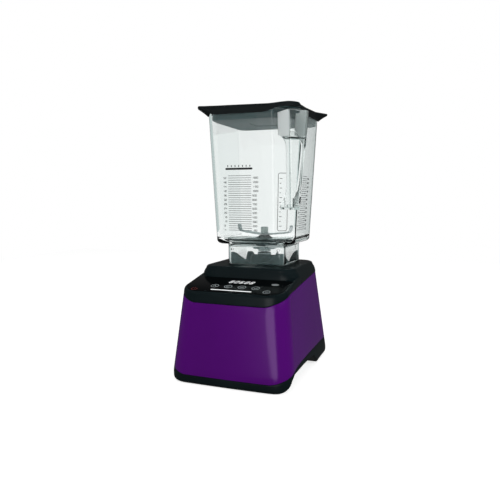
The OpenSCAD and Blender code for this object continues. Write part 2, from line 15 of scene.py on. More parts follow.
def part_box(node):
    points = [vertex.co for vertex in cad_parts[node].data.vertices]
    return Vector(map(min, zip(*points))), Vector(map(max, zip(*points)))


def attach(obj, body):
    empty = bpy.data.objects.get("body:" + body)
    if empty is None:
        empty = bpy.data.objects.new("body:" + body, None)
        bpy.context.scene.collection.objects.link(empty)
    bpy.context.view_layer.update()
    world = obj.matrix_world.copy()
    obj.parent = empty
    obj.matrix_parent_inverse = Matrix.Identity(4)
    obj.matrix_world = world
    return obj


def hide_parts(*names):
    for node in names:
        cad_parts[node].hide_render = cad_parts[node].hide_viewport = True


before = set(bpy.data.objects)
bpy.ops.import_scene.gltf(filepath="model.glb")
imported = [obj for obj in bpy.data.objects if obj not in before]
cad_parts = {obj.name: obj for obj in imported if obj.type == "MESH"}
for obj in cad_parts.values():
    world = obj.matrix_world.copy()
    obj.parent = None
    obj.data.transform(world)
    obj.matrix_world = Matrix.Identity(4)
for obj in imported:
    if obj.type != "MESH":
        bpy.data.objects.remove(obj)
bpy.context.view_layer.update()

# ---- numbers from the frame


def box_mm(node):
    low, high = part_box(node)
    return low * 1000, high * 1000


PAN_LOW, PAN_HIGH = box_mm("base_pan")
JAR_LOW, JAR_HIGH = box_mm("jar")
PAD_LOW, PAD_HIGH = box_mm("jar_seat_pad")
SOCKET_LOW, SOCKET_HIGH = box_mm("drive_socket")
RETAINER_LOW, RETAINER_HIGH = box_mm("retaining_nut")
HUB_LOW, HUB_HIGH = box_mm("bearing_housing")
NUT_LOW, NUT_HIGH = box_mm("blade_nut")
BLADE_LOW, BLADE_HIGH = box_mm("blade")
LID_TOP = box_mm("lid_shell")[1].z
PLUG_Z = box_mm("lid_plug")[0].z
CAP_TOP = box_mm("vent_cap")[1].z
PLATFORM_Z = PAD_LOW.z
AXIS_Y = (PAD_LOW.y + PAD_HIGH.y) / 2

# The leaning body of the base
BODY_HALF = PAN_HIGH.x
BODY_DEPTH = -PAN_LOW.y
BODY_FOOT = box_mm("painted_shell")[0].z
BODY_R = 28
BOW = 2.2
BOW_DEPTH = 75
SIDE_LEAN = 0.105
BACK_LEAN = 0.178
COVER_WALL = 3
PAN_FOOT = 0.5


def body_sides(z):
    """Half-width, front and back of the leaning body at height z."""
    rise = max(0, z - BODY_FOOT)
    return BODY_HALF - SIDE_LEAN * rise, SIDE_LEAN * rise - BODY_DEPTH, BODY_DEPTH - BACK_LEAN * rise


# ---- shape tools


def lerp(a, b, t):
    return a + (b - a) * t


def clamp(t, low=0.0, high=1.0):
    return max(low, min(high, t))


def ease(t):
    t = clamp(t)
    return t * t * (3 - 2 * t)


def along(points, x):
    """Value at x of the line through points, a list of (x, value) with rising x."""
    for (x0, v0), (x1, v1) in zip(points, points[1:]):
        if x <= x1:
            return lerp(v0, v1, clamp((x - x0) / (x1 - x0)))
    return points[-1][1]


def moved(x, y, z):
    return Matrix.Translation((x, y, z))


def turned(degrees, axis):
    return Matrix.Rotation(math.radians(degrees), 4, axis)


def axis_turn(degrees):
    """Sets what is drawn round the origin round the jar's axis, turned by some degrees."""
    return moved(0, AXIS_Y, 0) @ turned(degrees, "Z")


def fillet(corners, steps=5, closed=True):
    """Rounds each corner (a, b, radius) of an outline with an arc of steps pieces."""
    out = []
    count = len(corners)
    for i, (x, y, radius) in enumerate(corners):
        here = Vector((x, y))
        if radius == 0 or (not closed and i in (0, count - 1)):
            out.append((x, y))
            continue
        before = Vector(corners[i - 1][:2]) - here
        after = Vector(corners[(i + 1) % count][:2]) - here
        half_angle = before.angle(after) / 2
        cut = min(radius / math.tan(half_angle), 0.49 * before.length, 0.49 * after.length)
        middle = (before.normalized() + after.normalized()).normalized()
        centre = here + middle * (cut / math.cos(half_angle))
        start = here + before.normalized() * cut - centre
        end = here + after.normalized() * cut - centre
        sweep = math.atan2(start.x * end.y - start.y * end.x, start.dot(end))
        for j in range(steps + 1):
            a = sweep * j / steps
            out.append((centre.x + start.x * math.cos(a) - start.y * math.sin(a),
                        centre.y + start.x * math.sin(a) + start.y * math.cos(a)))
    return out


def rect(x0, x1, y0, y1, r, steps):
    return fillet([(x0, y0, r), (x1, y0, r), (x1, y1, r), (x0, y1, r)], steps)


def rounded_rect(half, front, back, r, arc=10, long=24, short=8):
    """A rounded rectangle seen from above, counter-clockwise from the front right corner."""
    corners = [(half - r, front + r), (half - r, back - r), (r - half, back - r), (r - half, front + r)]
    points = []
    for i, (cx, cy) in enumerate(corners):
        for j in range(arc + 1):
            a = math.radians(90 * (i - 1 + j / arc))
            points.append((cx + r * math.cos(a), cy + r * math.sin(a)))
        nx, ny = corners[(i + 1) % 4]
        a = math.radians(90 * i)
        x1, y1 = nx + r * math.cos(a), ny + r * math.sin(a)
        x0, y0 = points[-1]
        run = short if i % 2 else long
        points += [(lerp(x0, x1, j / run), lerp(y0, y1, j / run)) for j in range(1, run)]
    return points


def square_ring(half, r, arc=8, run=12):
    """A rounded square round the jar's axis."""
    return rounded_rect(half, AXIS_Y - half, AXIS_Y + half, r, arc, run, run)


def flat_ring(points, z):
    return [(x, y, z) for x, y in points]


def round_ring(r, z, count, centre=None):
    """A level ring. r is its radius, or a function that gives the radius at an angle."""
    cx, cy = centre or (0, AXIS_Y)
    ring = []
    for i in range(count):
        a = math.tau * i / count
        reach = r(a) if callable(r) else r
        ring.append((cx + reach * math.cos(a), cy + reach * math.sin(a), z))
    return ring


def onto_circle(points, r, z):
    """The points pulled straight onto a circle round the jar's axis."""
    angles = [math.atan2(point[1] - AXIS_Y, point[0]) for point in points]
    return [(r * math.cos(a), AXIS_Y + r * math.sin(a), z) for a in angles]


def inset_outline(outline, amount):
    """Moves each point of a counter-clockwise outline inwards."""
    if amount == 0:
        return list(outline)
    out = []
    for i, point in enumerate(outline):
        p = Vector(point)
        before = p - Vector(outline[i - 1])
        after = Vector(outline[(i + 1) % len(outline)]) - p
        n0 = Vector((-before.y, before.x)).normalized()
        n1 = Vector((-after.y, after.x)).normalized()
        n = (n0 + n1).normalized()
        out.append(tuple(p + n * (amount / max(0.4, n.dot(n0)))))
    return out


def arc_profile(r, steps):
    """Offsets (inwards, up) of a quarter round of radius r, from its low outer end to its top inner end."""
    angles = [math.radians(90 * (j / steps)) for j in range(steps + 1)]
    return [(r * (1 - math.cos(a)), r * math.sin(a)) for a in angles]


def low_round(ring, z, r, steps):
    """Rows of a rounded lower edge that starts at z. ring(inset, z) gives a row."""
    return [ring(out, z + r - up) for out, up in reversed(arc_profile(r, steps))]


def high_round(ring, z, r, steps):
    """Rows of a rounded upper edge that ends at z."""
    return [ring(out, z - r + up) for out, up in arc_profile(r, steps)]


class Mesh:
    """Vertices and faces gathered from lofts, in millimetres."""

    def __init__(self):
        self.verts = []
        self.faces = []

    def loft(self, rows, loop=False):
        """Joins rings of equally many points. loop joins the last ring to the first."""
        n = len(rows[0])
        base = len(self.verts)
        for row in rows:
            self.verts.extend(row)
        for j in range(len(rows) if loop else len(rows) - 1):
            a = base + j * n
            b = base + ((j + 1) % len(rows)) * n
            for i in range(n):
                k = (i + 1) % n
                self.faces.append((a + i, a + k, b + k, b + i))
        if not loop:
            last = base + (len(rows) - 1) * n
            self.faces.append(tuple(range(base + n - 1, base - 1, -1)))
            self.faces.append(tuple(range(last, last + n)))
        return self

    def lathe(self, profile, count=64, loop=True, centre=None):
        """Turns a profile of (radius, z) about the jar's axis, or about another upright axis."""
        return self.loft([round_ring(r, z, count, centre) for r, z in profile], loop)

    def plate(self, outline, low, high, bevel):
        """An upright plate with rounded edges on an outline seen from above."""
        def ring(inset, z):
            return flat_ring(inset_outline(outline, inset), z)
        return self.loft(low_round(ring, low, bevel, 3) + high_round(ring, high, bevel, 3))

    def slot(self, x0, x1, y0, y1, low, high):
        """An upright block with rounded corners, to cut a slot with."""
        outline = rect(x0, x1, y0, y1, 1.9, 4)
        return self.loft([flat_ring(outline, low), flat_ring(outline, high)])

    def slots_round(self, count, near, far, half, low, high):
        """Slots that point at the jar's axis."""
        for i in range(count):
            start = len(self.verts)
            self.slot(near, far, -half, half, low, high).place(axis_turn(360 / count * i), start)
        return self

    def bar(self, x, z, r, y0, y1, count):
        """A round bar from front to back."""
        ring = round_ring(r, 0, count, (x, z))
        return self.loft([[(u, y, v) for u, v, _ in ring] for y in (y0, y1)])

    def place(self, matrix, start=0):
        for i in range(start, len(self.verts)):
            self.verts[i] = tuple(matrix @ Vector(self.verts[i]))
        return self


def new_object(name, data):
    made = bpy.data.objects.new(name, data)
    bpy.context.scene.collection.objects.link(made)
    return made


def soften(data, sharp):
    """Smooth shading with a crease where faces meet at more than sharp degrees."""
    data.shade_smooth()
    data.set_sharp_from_angle(angle=math.radians(sharp))


def to_object(name, mesh, material=None, sharp=38):
    """A clean closed Blender object from a Mesh in millimetres."""
    data = bpy.data.meshes.new(name)
    data.from_pydata([(x * 0.001, y * 0.001, z * 0.001) for x, y, z in mesh.verts], [], mesh.faces)
    work = bmesh.new()
    work.from_mesh(data)
    bmesh.ops.remove_doubles(work, verts=work.verts, dist=2e-6)
    bmesh.ops.dissolve_degenerate(work, edges=work.edges, dist=1e-6)
    bmesh.ops.recalc_face_normals(work, faces=work.faces)
    work.to_mesh(data)
    work.free()
    soften(data, sharp)
    if material:
        data.materials.append(material)
    return new_object(name, data)


def combine(target, operation, *tools, sharp=38):
    """Joins closed tools to target, or cuts them from it, one by one."""
    for tool in tools:
        if isinstance(tool, Mesh):
            tool = to_object("tool", tool)
        step = target.modifiers.new("combine", "BOOLEAN")
        step.operation = operation
        step.solver = "MANIFOLD"
        step.object = tool
        bpy.context.view_layer.update()
        view = bpy.context.evaluated_depsgraph_get()
        shaped = bpy.data.meshes.new_from_object(target.evaluated_get(view))
        target.modifiers.clear()
        used = (target.data, tool.data)
        target.data = shaped
        bpy.data.objects.remove(tool)
        for data in used:
            bpy.data.meshes.remove(data)
        soften(shaped, sharp)
    for face in target.data.polygons:
        face.material_index = 0
    while len(target.data.materials) > 1:
        target.data.materials.pop()
    return target


def add_piece(name, mesh, material, body, replaces=(), sharp=38):
    """Makes a Mesh, or takes a finished object, and lets it ride a body."""
    piece = to_object(name, mesh, material, sharp) if isinstance(mesh, Mesh) else mesh
    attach(piece, body)
    if replaces:
        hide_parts(*replaces)


# ---- materials

# The part of a noise's range that its clouds mostly fill
CLOUD_LOW = 0.3
CLOUD_HIGH = 0.7


def feed(tree, node, **values):
    """Sets a node's sockets to constants, or links other nodes' outputs into them."""
    for key, value in values.items():
        socket = node.inputs[key.replace("_", " ")]
        if isinstance(value, bpy.types.NodeSocket):
            tree.links.new(value, socket)
        else:
            socket.default_value = value
    return node


def add_node(tree, kind, **values):
    return feed(tree, tree.nodes.new("ShaderNode" + kind), **values)


def new_material(name, color, roughness, **sockets):
    """A Principled material with constants on its sockets. Returns it with its tree and shader."""
    material = bpy.data.materials.new(name)
    material.use_nodes = True
    tree = material.node_tree
    shader = feed(tree, tree.nodes["Principled BSDF"], Base_Color=(*color, 1), Roughness=roughness, **sockets)
    return material, tree, shader


def add_noise(tree, scale, detail, stretch=(1, 1, 1)):
    """Noise in object space, so that it stays on the piece. scale is in waves per metre."""
    place = add_node(tree, "TexCoord").outputs["Object"]
    place = add_node(tree, "Mapping", Scale=stretch, Vector=place).outputs["Vector"]
    return add_node(tree, "TexNoise", Scale=scale, Detail=detail, Vector=place).outputs["Fac"]


def ramp_between(tree, factor, low, high, low_at, high_at):
    """A colour ramp from low to high, driven by factor."""
    ramp = add_node(tree, "ValToRGB", Fac=factor)
    for element, color, at in zip(ramp.color_ramp.elements, (low, high), (low_at, high_at)):
        element.position = at
        element.color = (*color, 1)
    return ramp.outputs["Color"]


def surface(name, color, roughness, cloud, tints, gloss=None, bump=None, **sockets):
    """A material whose colour, and gloss if given, drift with noise.

    cloud is the noise's scale, detail and stretch. tints are the darkest and lightest share of the colour.
    gloss is the range of the roughness. bump is a noise scale (None for the cloud itself), depth, strength.
    """
    material, tree, shader = new_material(name, color, roughness, **sockets)
    factor = add_noise(tree, *cloud)
    dark, light = ([clamp(c * tint) for c in color] for tint in tints)
    feed(tree, shader, Base_Color=ramp_between(tree, factor, dark, light, CLOUD_LOW, CLOUD_HIGH))
    if gloss:
        span = add_node(tree, "MapRange", Value=factor, From_Min=CLOUD_LOW, From_Max=CLOUD_HIGH,
                        To_Min=gloss[0], To_Max=gloss[1])
        feed(tree, shader, Roughness=span.outputs["Result"])
    if bump:
        scale, depth, strength = bump
        height = add_noise(tree, scale, 2) if scale else factor
        relief = add_node(tree, "Bump", Strength=strength, Distance=depth, Height=height)
        feed(tree, shader, Normal=relief.outputs["Normal"])
    return material


def moulded(name, color, roughness=0.45, grain=1600, depth=0.00004, **sockets):
    """Moulded plastic or rubber with a fine texture and slight changes in gloss."""
    return surface(name, color, roughness, (14, 3), (0.86, 1.14), (roughness - 0.05, roughness + 0.05),
                   (grain, depth, 0.5), **sockets)


def glossy(name, color, roughness=0.08, **sockets):
    """Polished moulding or printed film, with faint unevenness."""
    return surface(name, color, roughness, (30, 2), (0.9, 1.1), (roughness, roughness + 0.05), **sockets)


def metal(name, color, roughness, stretch=(1, 1, 1), scale=700, spread=0.08, depth=0.00001):
    """Metal whose gloss is broken by fine lines; stretch draws the noise out into a brushing direction."""
    return surface(name, color, roughness, (scale, 3, stretch), (0.9, 1.08),
                   (max(0.02, roughness - spread), roughness + spread), (None, depth, 0.4), Metallic=1.0)


def clear(name, tint, roughness, transmission, cloud, tints):
    """Clear copolyester with barely visible flow marks."""
    return surface(name, tint, roughness, cloud, tints, IOR=1.5, Transmission_Weight=transmission)


def printed(name, color):
    """Screen-printed ink."""
    return surface(name, color, 0.6, (400, 2), (0.85, 1.1))


def lit(name, color, strength):
    """Back-lit print in the touch panel."""
    return surface(name, color, 0.35, (300, 2), (0.9, 1.0), Emission_Color=(*color, 1),
                   Emission_Strength=strength)


PURPLE = surface("satin_purple", (0.073, 0.0009, 0.148), 0.2, (9, 2), (0.93, 1.07), None,
                 (900, 0.00002, 0.35), Specular_IOR_Level=0.45, Specular_Tint=(0.92, 0.66, 1.0, 1))
BLACK_ABS = moulded("moulded_black", (0.0032, 0.0082, 0.0096), 0.34, Specular_IOR_Level=0.22)
PANEL_GLOSS = glossy("panel_gloss", (0.0022, 0.003, 0.0034), Specular_IOR_Level=0.03)
PANEL_WHITE = lit("panel_white", (0.85, 0.87, 0.88), 0.55)
PANEL_GREY = lit("panel_grey", (0.3, 0.34, 0.35), 0.22)
KEY_GREY = moulded("key_grey", (0.21, 0.23, 0.235), 0.4)
PANEL_RED = lit("panel_red", (0.1, 0.01, 0.01), 0.12)
SEAT_GREY = moulded("seat_elastomer", (0.086, 0.142, 0.146), 0.6, 1200, 0.00005)
CLEAR = clear("clear_moulding", (0.965, 0.985, 0.98), 0.0, 1.0, (22, 2, (1, 1, 0.4)), (0.995, 1.01))
# Painted highlight: a whitish, half-clear, rough plastic that makes the handle's wings look light
WING_HIGHLIGHT = clear("wing_painted_highlight", (0.93, 0.985, 0.98), 0.35, 0.4, (60, 2), (0.98, 1.0))
INK = printed("scale_ink", (0.012, 0.014, 0.016))
INK_GREY = printed("scale_ink_grey", (0.11, 0.12, 0.13))
HUB_GREY = moulded("hub_grey", (0.08, 0.12, 0.12))
NUT_GREY = moulded("nut_grey", (0.5, 0.6, 0.58), 0.35)
LID_BLACK = moulded("soft_black", (0.0045, 0.0072, 0.008), 0.5, 1300, Specular_IOR_Level=0.25)
LID_GREY = moulded("lid_grey", (0.048, 0.092, 0.097), 0.55, 1300)
SOCKET_METAL = metal("socket_metal", (0.3, 0.33, 0.34), 0.22, (1, 1, 6), 260)
STEEL = metal("turned_steel", (0.72, 0.75, 0.76), 0.34, (1, 1, 8), 300)
NUT_STEEL = metal("nut_steel", (0.42, 0.49, 0.5), 0.35, (1, 1, 8), 300)
BLADE_STEEL = metal("blade_steel", (0.52, 0.55, 0.56), 0.32, (0.5, 6, 6), 320)
RUBBER = moulded("black_rubber", (0.012, 0.012, 0.012), 0.8, 1000, 0.00008)
BEARING_STEEL = metal("bearing_steel", (0.68, 0.69, 0.7), 0.22, (1, 1, 5), 400)
CAST = metal("cast_alloy", (0.5, 0.51, 0.53), 0.5, (1, 1, 1), 350, 0.1, 0.00006)
LAMINATION = metal("lamination_stack", (0.26, 0.27, 0.29), 0.42, (0.2, 0.2, 30), 60, 0.12, 0.00005)
COPPER = metal("enamelled_copper", (0.6, 0.24, 0.09), 0.35, (1, 1, 10), 220, 0.1, 0.00008)
BRASS = metal("brass", (0.62, 0.46, 0.18), 0.3)
SPRING = metal("spring_steel", (0.55, 0.56, 0.58), 0.25)
ZINC = metal("zinc_plate", (0.58, 0.6, 0.62), 0.35, (1, 1, 1), 500)
HEAT_SINK = metal("extruded_aluminium", (0.66, 0.67, 0.69), 0.38, (1, 1, 0.1), 500)
CARBON = moulded("carbon_brush", (0.02, 0.02, 0.022), 0.65, 1500)
BOARD = moulded("circuit_board", (0.018, 0.1, 0.045), 0.35, 700)
DISPLAY = glossy("display_window", (0.012, 0.012, 0.014), 0.12)
CAN = glossy("capacitor_sleeve", (0.03, 0.035, 0.1), 0.3)
DUCT = moulded("duct_plastic", (0.05, 0.05, 0.055), 0.5)
FAN = moulded("fan_plastic", (0.035, 0.035, 0.038))
GLAND = moulded("gland_black", (0.012, 0.012, 0.012), 0.5)
SWITCH = moulded("switch_black", (0.014, 0.014, 0.015), 0.35)

# ---- base: painted shell

EDGE_FRONT_Z = 13.5
EDGE_CORNER_Z = 24.5
EDGE_SIDE_Z = 30.5
EDGE_FADE = 22
TOP_FRONT_Z = 116
TOP_SIDE_Z = 130
TOP_BACK_Z = 145
TOP_CORNER_Y = -76
SEAM = 0.35
SHELL_EDGE = 0.7
EDGE_ROUNDS = 6


def low_edge(y):
    """Height of the painted shell's lower edge."""
    corner_y = BODY_R - BODY_DEPTH
    if y < corner_y:
        t = math.acos(clamp((corner_y - y) / BODY_R)) / (math.pi / 2)
        return lerp(EDGE_FRONT_Z, EDGE_CORNER_Z, (t + t * t * (2 - t)) / 2)
    return EDGE_SIDE_Z - (EDGE_SIDE_Z - EDGE_CORNER_Z) * math.exp((corner_y - y) / EDGE_FADE)


def top_edge(y):
    """Height of the painted shell's upper edge."""
    if y < TOP_CORNER_Y:
        front = body_sides(TOP_FRONT_Z)[1]
        return lerp(TOP_FRONT_Z, TOP_SIDE_Z, clamp((y - front) / (TOP_CORNER_Y - front)) ** 0.6)
    back = body_sides(TOP_BACK_Z)[2]
    return lerp(TOP_SIDE_Z, TOP_BACK_Z, (y - TOP_CORNER_Y) / (back - TOP_CORNER_Y))


def plain_outline(z, inset=0.0):
    """The leaning body seen from above, with straight sides."""
    half, front, back = body_sides(z)
    return rounded_rect(half - inset, front + inset, back - inset, BODY_R - inset, 14, 44, 16)


def body_outline(z, inset=0.0):
    """The leaning body seen from above. Its front bows out slightly towards the middle."""
    half, front, _ = body_sides(z)
    return [(x, y + BOW * (x / half) ** 2 * clamp((front + BOW_DEPTH - y) / BOW_DEPTH))
            for x, y in plain_outline(z, inset)]


def edge_heights(outline, edge, guess):
    """Height of an edge curve at each point of a leaning outline, found by trying again from the last one."""
    heights = []
    for k in range(len(outline(guess))):
        z = guess
        for _ in range(EDGE_ROUNDS):
            z = edge(outline(z)[k][1])
        heights.append(z)
    return heights


LOW_EDGE = edge_heights(plain_outline, low_edge, 80)
TOP_EDGE = edge_heights(plain_outline, top_edge, 80)
BODY_COUNT = len(LOW_EDGE)


def body_row(heights, inset=0.0, lift=0.0):
    """The body's outline with a height, and an inset if need be, of its own at each point."""
    insets = inset if isinstance(inset, list) else [inset] * BODY_COUNT
    return [(*body_outline(z + lift, more)[k], z + lift) for k, (z, more) in enumerate(zip(heights, insets))]


SWITCH_X = 46
SWITCH_Z = 66


def back_frame():
    """Places things drawn on the leaning back: x across, z up, y outwards."""
    lean = math.degrees(math.atan(BACK_LEAN))
    return moved(SWITCH_X, body_sides(SWITCH_Z)[2], SWITCH_Z) @ turned(lean, "X")


def upright_ring(half_w, half_h, r, y):
    """A rounded rectangle in the plane of the back."""
    corners = [(half_w, -half_h, r), (half_w, half_h, r), (-half_w, half_h, r), (-half_w, -half_h, r)]
    return [(x, y, z) for x, z in fillet(corners)]


def painted_shell():
    rows = low_round(partial(body_row, LOW_EDGE), 0, SHELL_EDGE, 3)
    for j in range(1, 10):
        rows.append(body_row([lerp(low + SHELL_EDGE, top - SHELL_EDGE, j / 10)
                              for low, top in zip(LOW_EDGE, TOP_EDGE)]))
    rows += high_round(partial(body_row, TOP_EDGE), 0, SHELL_EDGE, 3)
    rows += [body_row(TOP_EDGE, COVER_WALL), body_row(LOW_EDGE, COVER_WALL)]
    piece = to_object("shell_paint", Mesh().loft(rows, loop=True), PURPLE)
    opening = Mesh().loft([upright_ring(6.7, 9.7, 1.2, y) for y in (-12, 6)]).place(back_frame())
    combine(piece, "DIFFERENCE", opening)
    add_piece("shell_paint", piece, PURPLE, "base", ["painted_shell"])


painted_shell()

# ---- base: deck and jar platform

DECK_Y = -106
DECK_Z = 132
DECK_SLOPE = 10.7
DECK_TAN = math.tan(math.radians(DECK_SLOPE))
DECK_STOP = -18
RIM_EDGE = 0.6
RIM_ROUND = 3.4
PLATFORM_EDGE = 4.2
PLATFORM_FOOT = 0.6
SLOPE_Z = 145
SLOPE_RISE = 12
SLOPE_FRONT = -43
SLOPE_R = 26
FRONT_LEAN = 1.4 / 19
PLATFORM_HALF = 72
PLATFORM_FRONT = -40
PLATFORM_BACK = 94
PLATFORM_R = 22


def deck_z(y):
    """Height of the sloping deck's surface."""
    return DECK_Z + DECK_TAN * (y - DECK_Y)


def deck_top(y):
    """The same, but level under the platform."""
    return deck_z(min(y, DECK_STOP))


def deck_body():
    """The black rim and the sloping deck in front of the platform."""
    hidden = [1.2 * ease((y - DECK_STOP) / 8) for x, y in body_outline(140)]
    rim = edge_heights(plain_outline, deck_top, 80)

    def row(heights, inset, lift):
        return body_row(heights, [inset + more for more in hidden], lift)

    def deck_row(inset, drop):
        return [(x, y, deck_top(y) - drop) for x, y, z in row(rim, inset, 0)]

    rows = low_round(partial(row, TOP_EDGE), SEAM, RIM_EDGE, 3)
    for j in (1, 2, 3):
        rows.append(row([lerp(edge + SEAM + RIM_EDGE, top - RIM_ROUND, j / 4)
                         for edge, top in zip(TOP_EDGE, rim)], 0, 0))
    for out, up in arc_profile(RIM_ROUND, 7):
        rows.append([(x, y, z + (0.7 * DECK_TAN * out if y < -90 else 0))
                     for x, y, z in row(rim, out, up - RIM_ROUND)])
    rows += [deck_row(inset, 0) for inset in (5, 9, 16)]
    rows += [deck_row(inset, COVER_WALL) for inset in (16, 9, COVER_WALL)]
    rows.append(row(TOP_EDGE, COVER_WALL, SEAM))
    return Mesh().loft(rows, loop=True)


def platform_section(z):
    """Half-width, front, back and corner radius of the platform at height z."""
    half, _, back = body_sides(min(z, SLOPE_Z))
    if z <= SLOPE_Z:
        return half, SLOPE_FRONT - FRONT_LEAN * (SLOPE_Z - z), back, SLOPE_R
    t = (z - SLOPE_Z) / SLOPE_RISE
    bow = 0.9 * math.sin(math.pi * clamp(t))
    return (lerp(half, PLATFORM_HALF, t) + bow, lerp(SLOPE_FRONT, PLATFORM_FRONT, t) - 0.4 * bow,
            lerp(back, PLATFORM_BACK, t) + bow, lerp(SLOPE_R, PLATFORM_R, t))


def platform_ring(z, inset=0.0):
    half, front, back, r = platform_section(z)
    return rounded_rect(half - inset, front + inset, back - inset, max(2, r - inset), 14, 40, 16)


def platform():
    """The raised block that carries the jar: its flanks are the black slopes above the paint."""
    def foot_z(y):
        """On the paint's edge at the sides and the back, and just below the deck at the front."""
        z = top_edge(y) + SEAM
        return z if y > -14 else lerp(deck_z(y) - 1.5, z, ease((y + 22) / 8))

    def row(heights, inset=0.0):
        return [(*platform_ring(z, inset)[k], z) for k, z in enumerate(heights)]

    feet = edge_heights(platform_ring, foot_z, 140)
    top = PLATFORM_Z - PLATFORM_EDGE
    half, front, back, r = platform_section(top)

    def level(inset, z, cut):
        return flat_ring(rounded_rect(half - inset, front + inset, back - inset, r - cut, 14, 40, 16), z)

    rows = [row(feet, 0.6), row([z + 0.2 for z in feet], 0.15)]
    for j in range(8):
        rows.append(row([lerp(z + PLATFORM_FOOT, top, j / 7) for z in feet]))
    rows += high_round(lambda out, z: level(out, z, out / 2), PLATFORM_Z, PLATFORM_EDGE, 7)[1:]
    rows += [level(8, PLATFORM_Z, 4), level(14, PLATFORM_Z, 4)]
    flat = rows[-1]
    under = PLATFORM_Z - COVER_WALL
    rows += [onto_circle(flat, SOCKET_HIGH.x + 2, z) for z in (PLATFORM_Z, under)]
    rows.append([(x, y, under) for x, y, z in flat])
    rows += [row([max(z + 0.5, top - 2) for z in feet], COVER_WALL + 1), row(feet, COVER_WALL)]
    return Mesh().loft(rows, loop=True)


add_piece("deck_rim", deck_body(), BLACK_ABS, "base", ["top_housing"])
add_piece("jar_platform", platform(), BLACK_ABS, "base")

# ---- base: touch panel

PANEL_T = 0.25
PANEL_MARGIN = 3.6
PANEL_BACK = -44.2
DECK_FRAME = moved(0, DECK_Y, DECK_Z) @ turned(DECK_SLOPE, "X")


def panel_outline():
    """Follows the deck's rounded front edge and the foot of the platform."""
    front = body_sides(DECK_Z - 1)[1] + PANEL_MARGIN - DECK_Y
    back = (PANEL_BACK - DECK_Y) / math.cos(math.radians(DECK_SLOPE))
    half = body_sides(140)[0] - PANEL_MARGIN
    r = BODY_R - PANEL_MARGIN
    return fillet([(half - 0.9, front, r), (half, back, 5), (-half, back, 5), (0.9 - half, front, r)], 12)


def stroke(mesh, path, width, height=0.12, closed=False):
    """A printed line of constant width along a flat path, with mitred corners."""
    count = len(path)
    rows = []
    for i in range(count):
        here = Vector(path[i])
        ahead = Vector(path[(i + 1) % count]) if closed or i + 1 < count else here
        behind = Vector(path[i - 1]) if closed or i > 0 else here
        d0 = (here - behind).normalized()
        d1 = (ahead - here).normalized()
        d = (d0 + d1).normalized()
        reach = width / 2 / max(0.5, abs(d.dot(d0 if d0.length else d1)))
        a = here + Vector((-d.y, d.x)) * reach
        b = here - Vector((-d.y, d.x)) * reach
        rows.append([(a.x, a.y, 0), (b.x, b.y, 0), (b.x, b.y, height), (a.x, a.y, height)])
    return mesh.loft(rows, loop=closed)


def arc_path(cx, cy, r, a0, a1, count=16, squash=1.0):
    angles = [math.radians(lerp(a0, a1, i / count)) for i in range(count + 1)]
    return [(cx + r * math.cos(a), cy + squash * r * math.sin(a)) for a in angles]


BARS = {"a": (0, 1, 1, 1), "b": (1, 0.5, 1, 1), "c": (1, 0, 1, 0.5), "d": (0, 0, 1, 0),
        "e": (0, 0, 0, 0.5), "f": (0, 0.5, 0, 1), "g": (0, 0.5, 1, 0.5)}
DIGITS = ("abcdef", "bc", "abged", "abgcd", "fgbc", "afgcd", "afgedc", "abc", "abcdefg", "abcdfg")


def numerals(mesh, text, x, y, width, height, thick, gap, slant=0.0, rise=0.12):
    """Plain numerals made of straight bars, from the lower left corner (x, y) of the first."""
    for digit in text:
        for name in DIGITS[int(digit)]:
            u0, v0, u1, v1 = BARS[name]
            pad = 0.12 * thick / width if u0 == u1 else 0
            stroke(mesh, [(x + width * u0 + slant * height * v0, y + height * v0 + pad),
                          (x + width * u1 + slant * height * v1, y + height * v1 - pad)], thick, rise)
        x += width + gap
    return mesh


# Round keys on the panel: middle, radius, width of the sign's line, and the sign's paths from the middle
KEYS = [(-32, 26, 5.6, 0.8, [[(-2, -2.5), (0, 2.5), (2, -2.5)]]),
        (-11, 26, 5.6, 0.8, [arc_path(0, 0, 2.4, 40, 320, 10)]),
        (10, 26, 5.6, 0.8, [[(x, -2), (x, 1.5 + x / 3)] for x in (-1.8, 0, 1.8)]),
        (31, 26, 5.6, 0.8, [[(-2.6, 0), (-0.4, -2.1), (2.8, 2.1)]]),
        (51, 14, 5.0, 0.9, [[(-2.2, 0), (2.2, 0)]])]


def touch_panel():
    """The glossy overlay and its back-lit print: numerals, keys, a speed slider and the power key."""
    glass = Mesh().plate(panel_outline(), -1.0, PANEL_T, 0.2).place(DECK_FRAME)
    add_piece("touch_panel", glass, PANEL_GLOSS, "base", ["control_panel"])
    keys = Mesh()
    for x, y, r, width, paths in KEYS:
        stroke(keys, arc_path(x, y, r, 0, 337, 20), 0.7, closed=True)
        for path in paths:
            stroke(keys, [(x + u, y + v) for u, v in path], width)
    power = stroke(Mesh(), arc_path(-57, 9.2, 4.2, 120, 420, 18), 1.0)
    stroke(power, [(-57, 9.8), (-57, 14.6)], 1.1)
    display = numerals(Mesh(), "80608", -16.5, 41.6, 3.7, 8.6, 1.0, 4.2, 0.3, 0.1)
    for name, mesh, look in (
            ("display_numerals", display, PANEL_WHITE),
            ("speed_slider", Mesh().plate(rect(-32, 30, 9.8, 12.2, 1.1, 4), 0, 0.12, 0.05), PANEL_WHITE),
            ("key_prints", keys, PANEL_GREY),
            ("pulse_key", Mesh().plate(arc_path(54, 44, 5.6, 0, 345, 23, 0.62), 0, 0.3, 0.12), KEY_GREY),
            ("power_key", power, PANEL_RED)):
        mesh.place(DECK_FRAME @ moved(0, 0, PANEL_T - 0.02))
        add_piece(name, mesh, look, "base")


touch_panel()

# ---- base: pan, feet and rear fittings

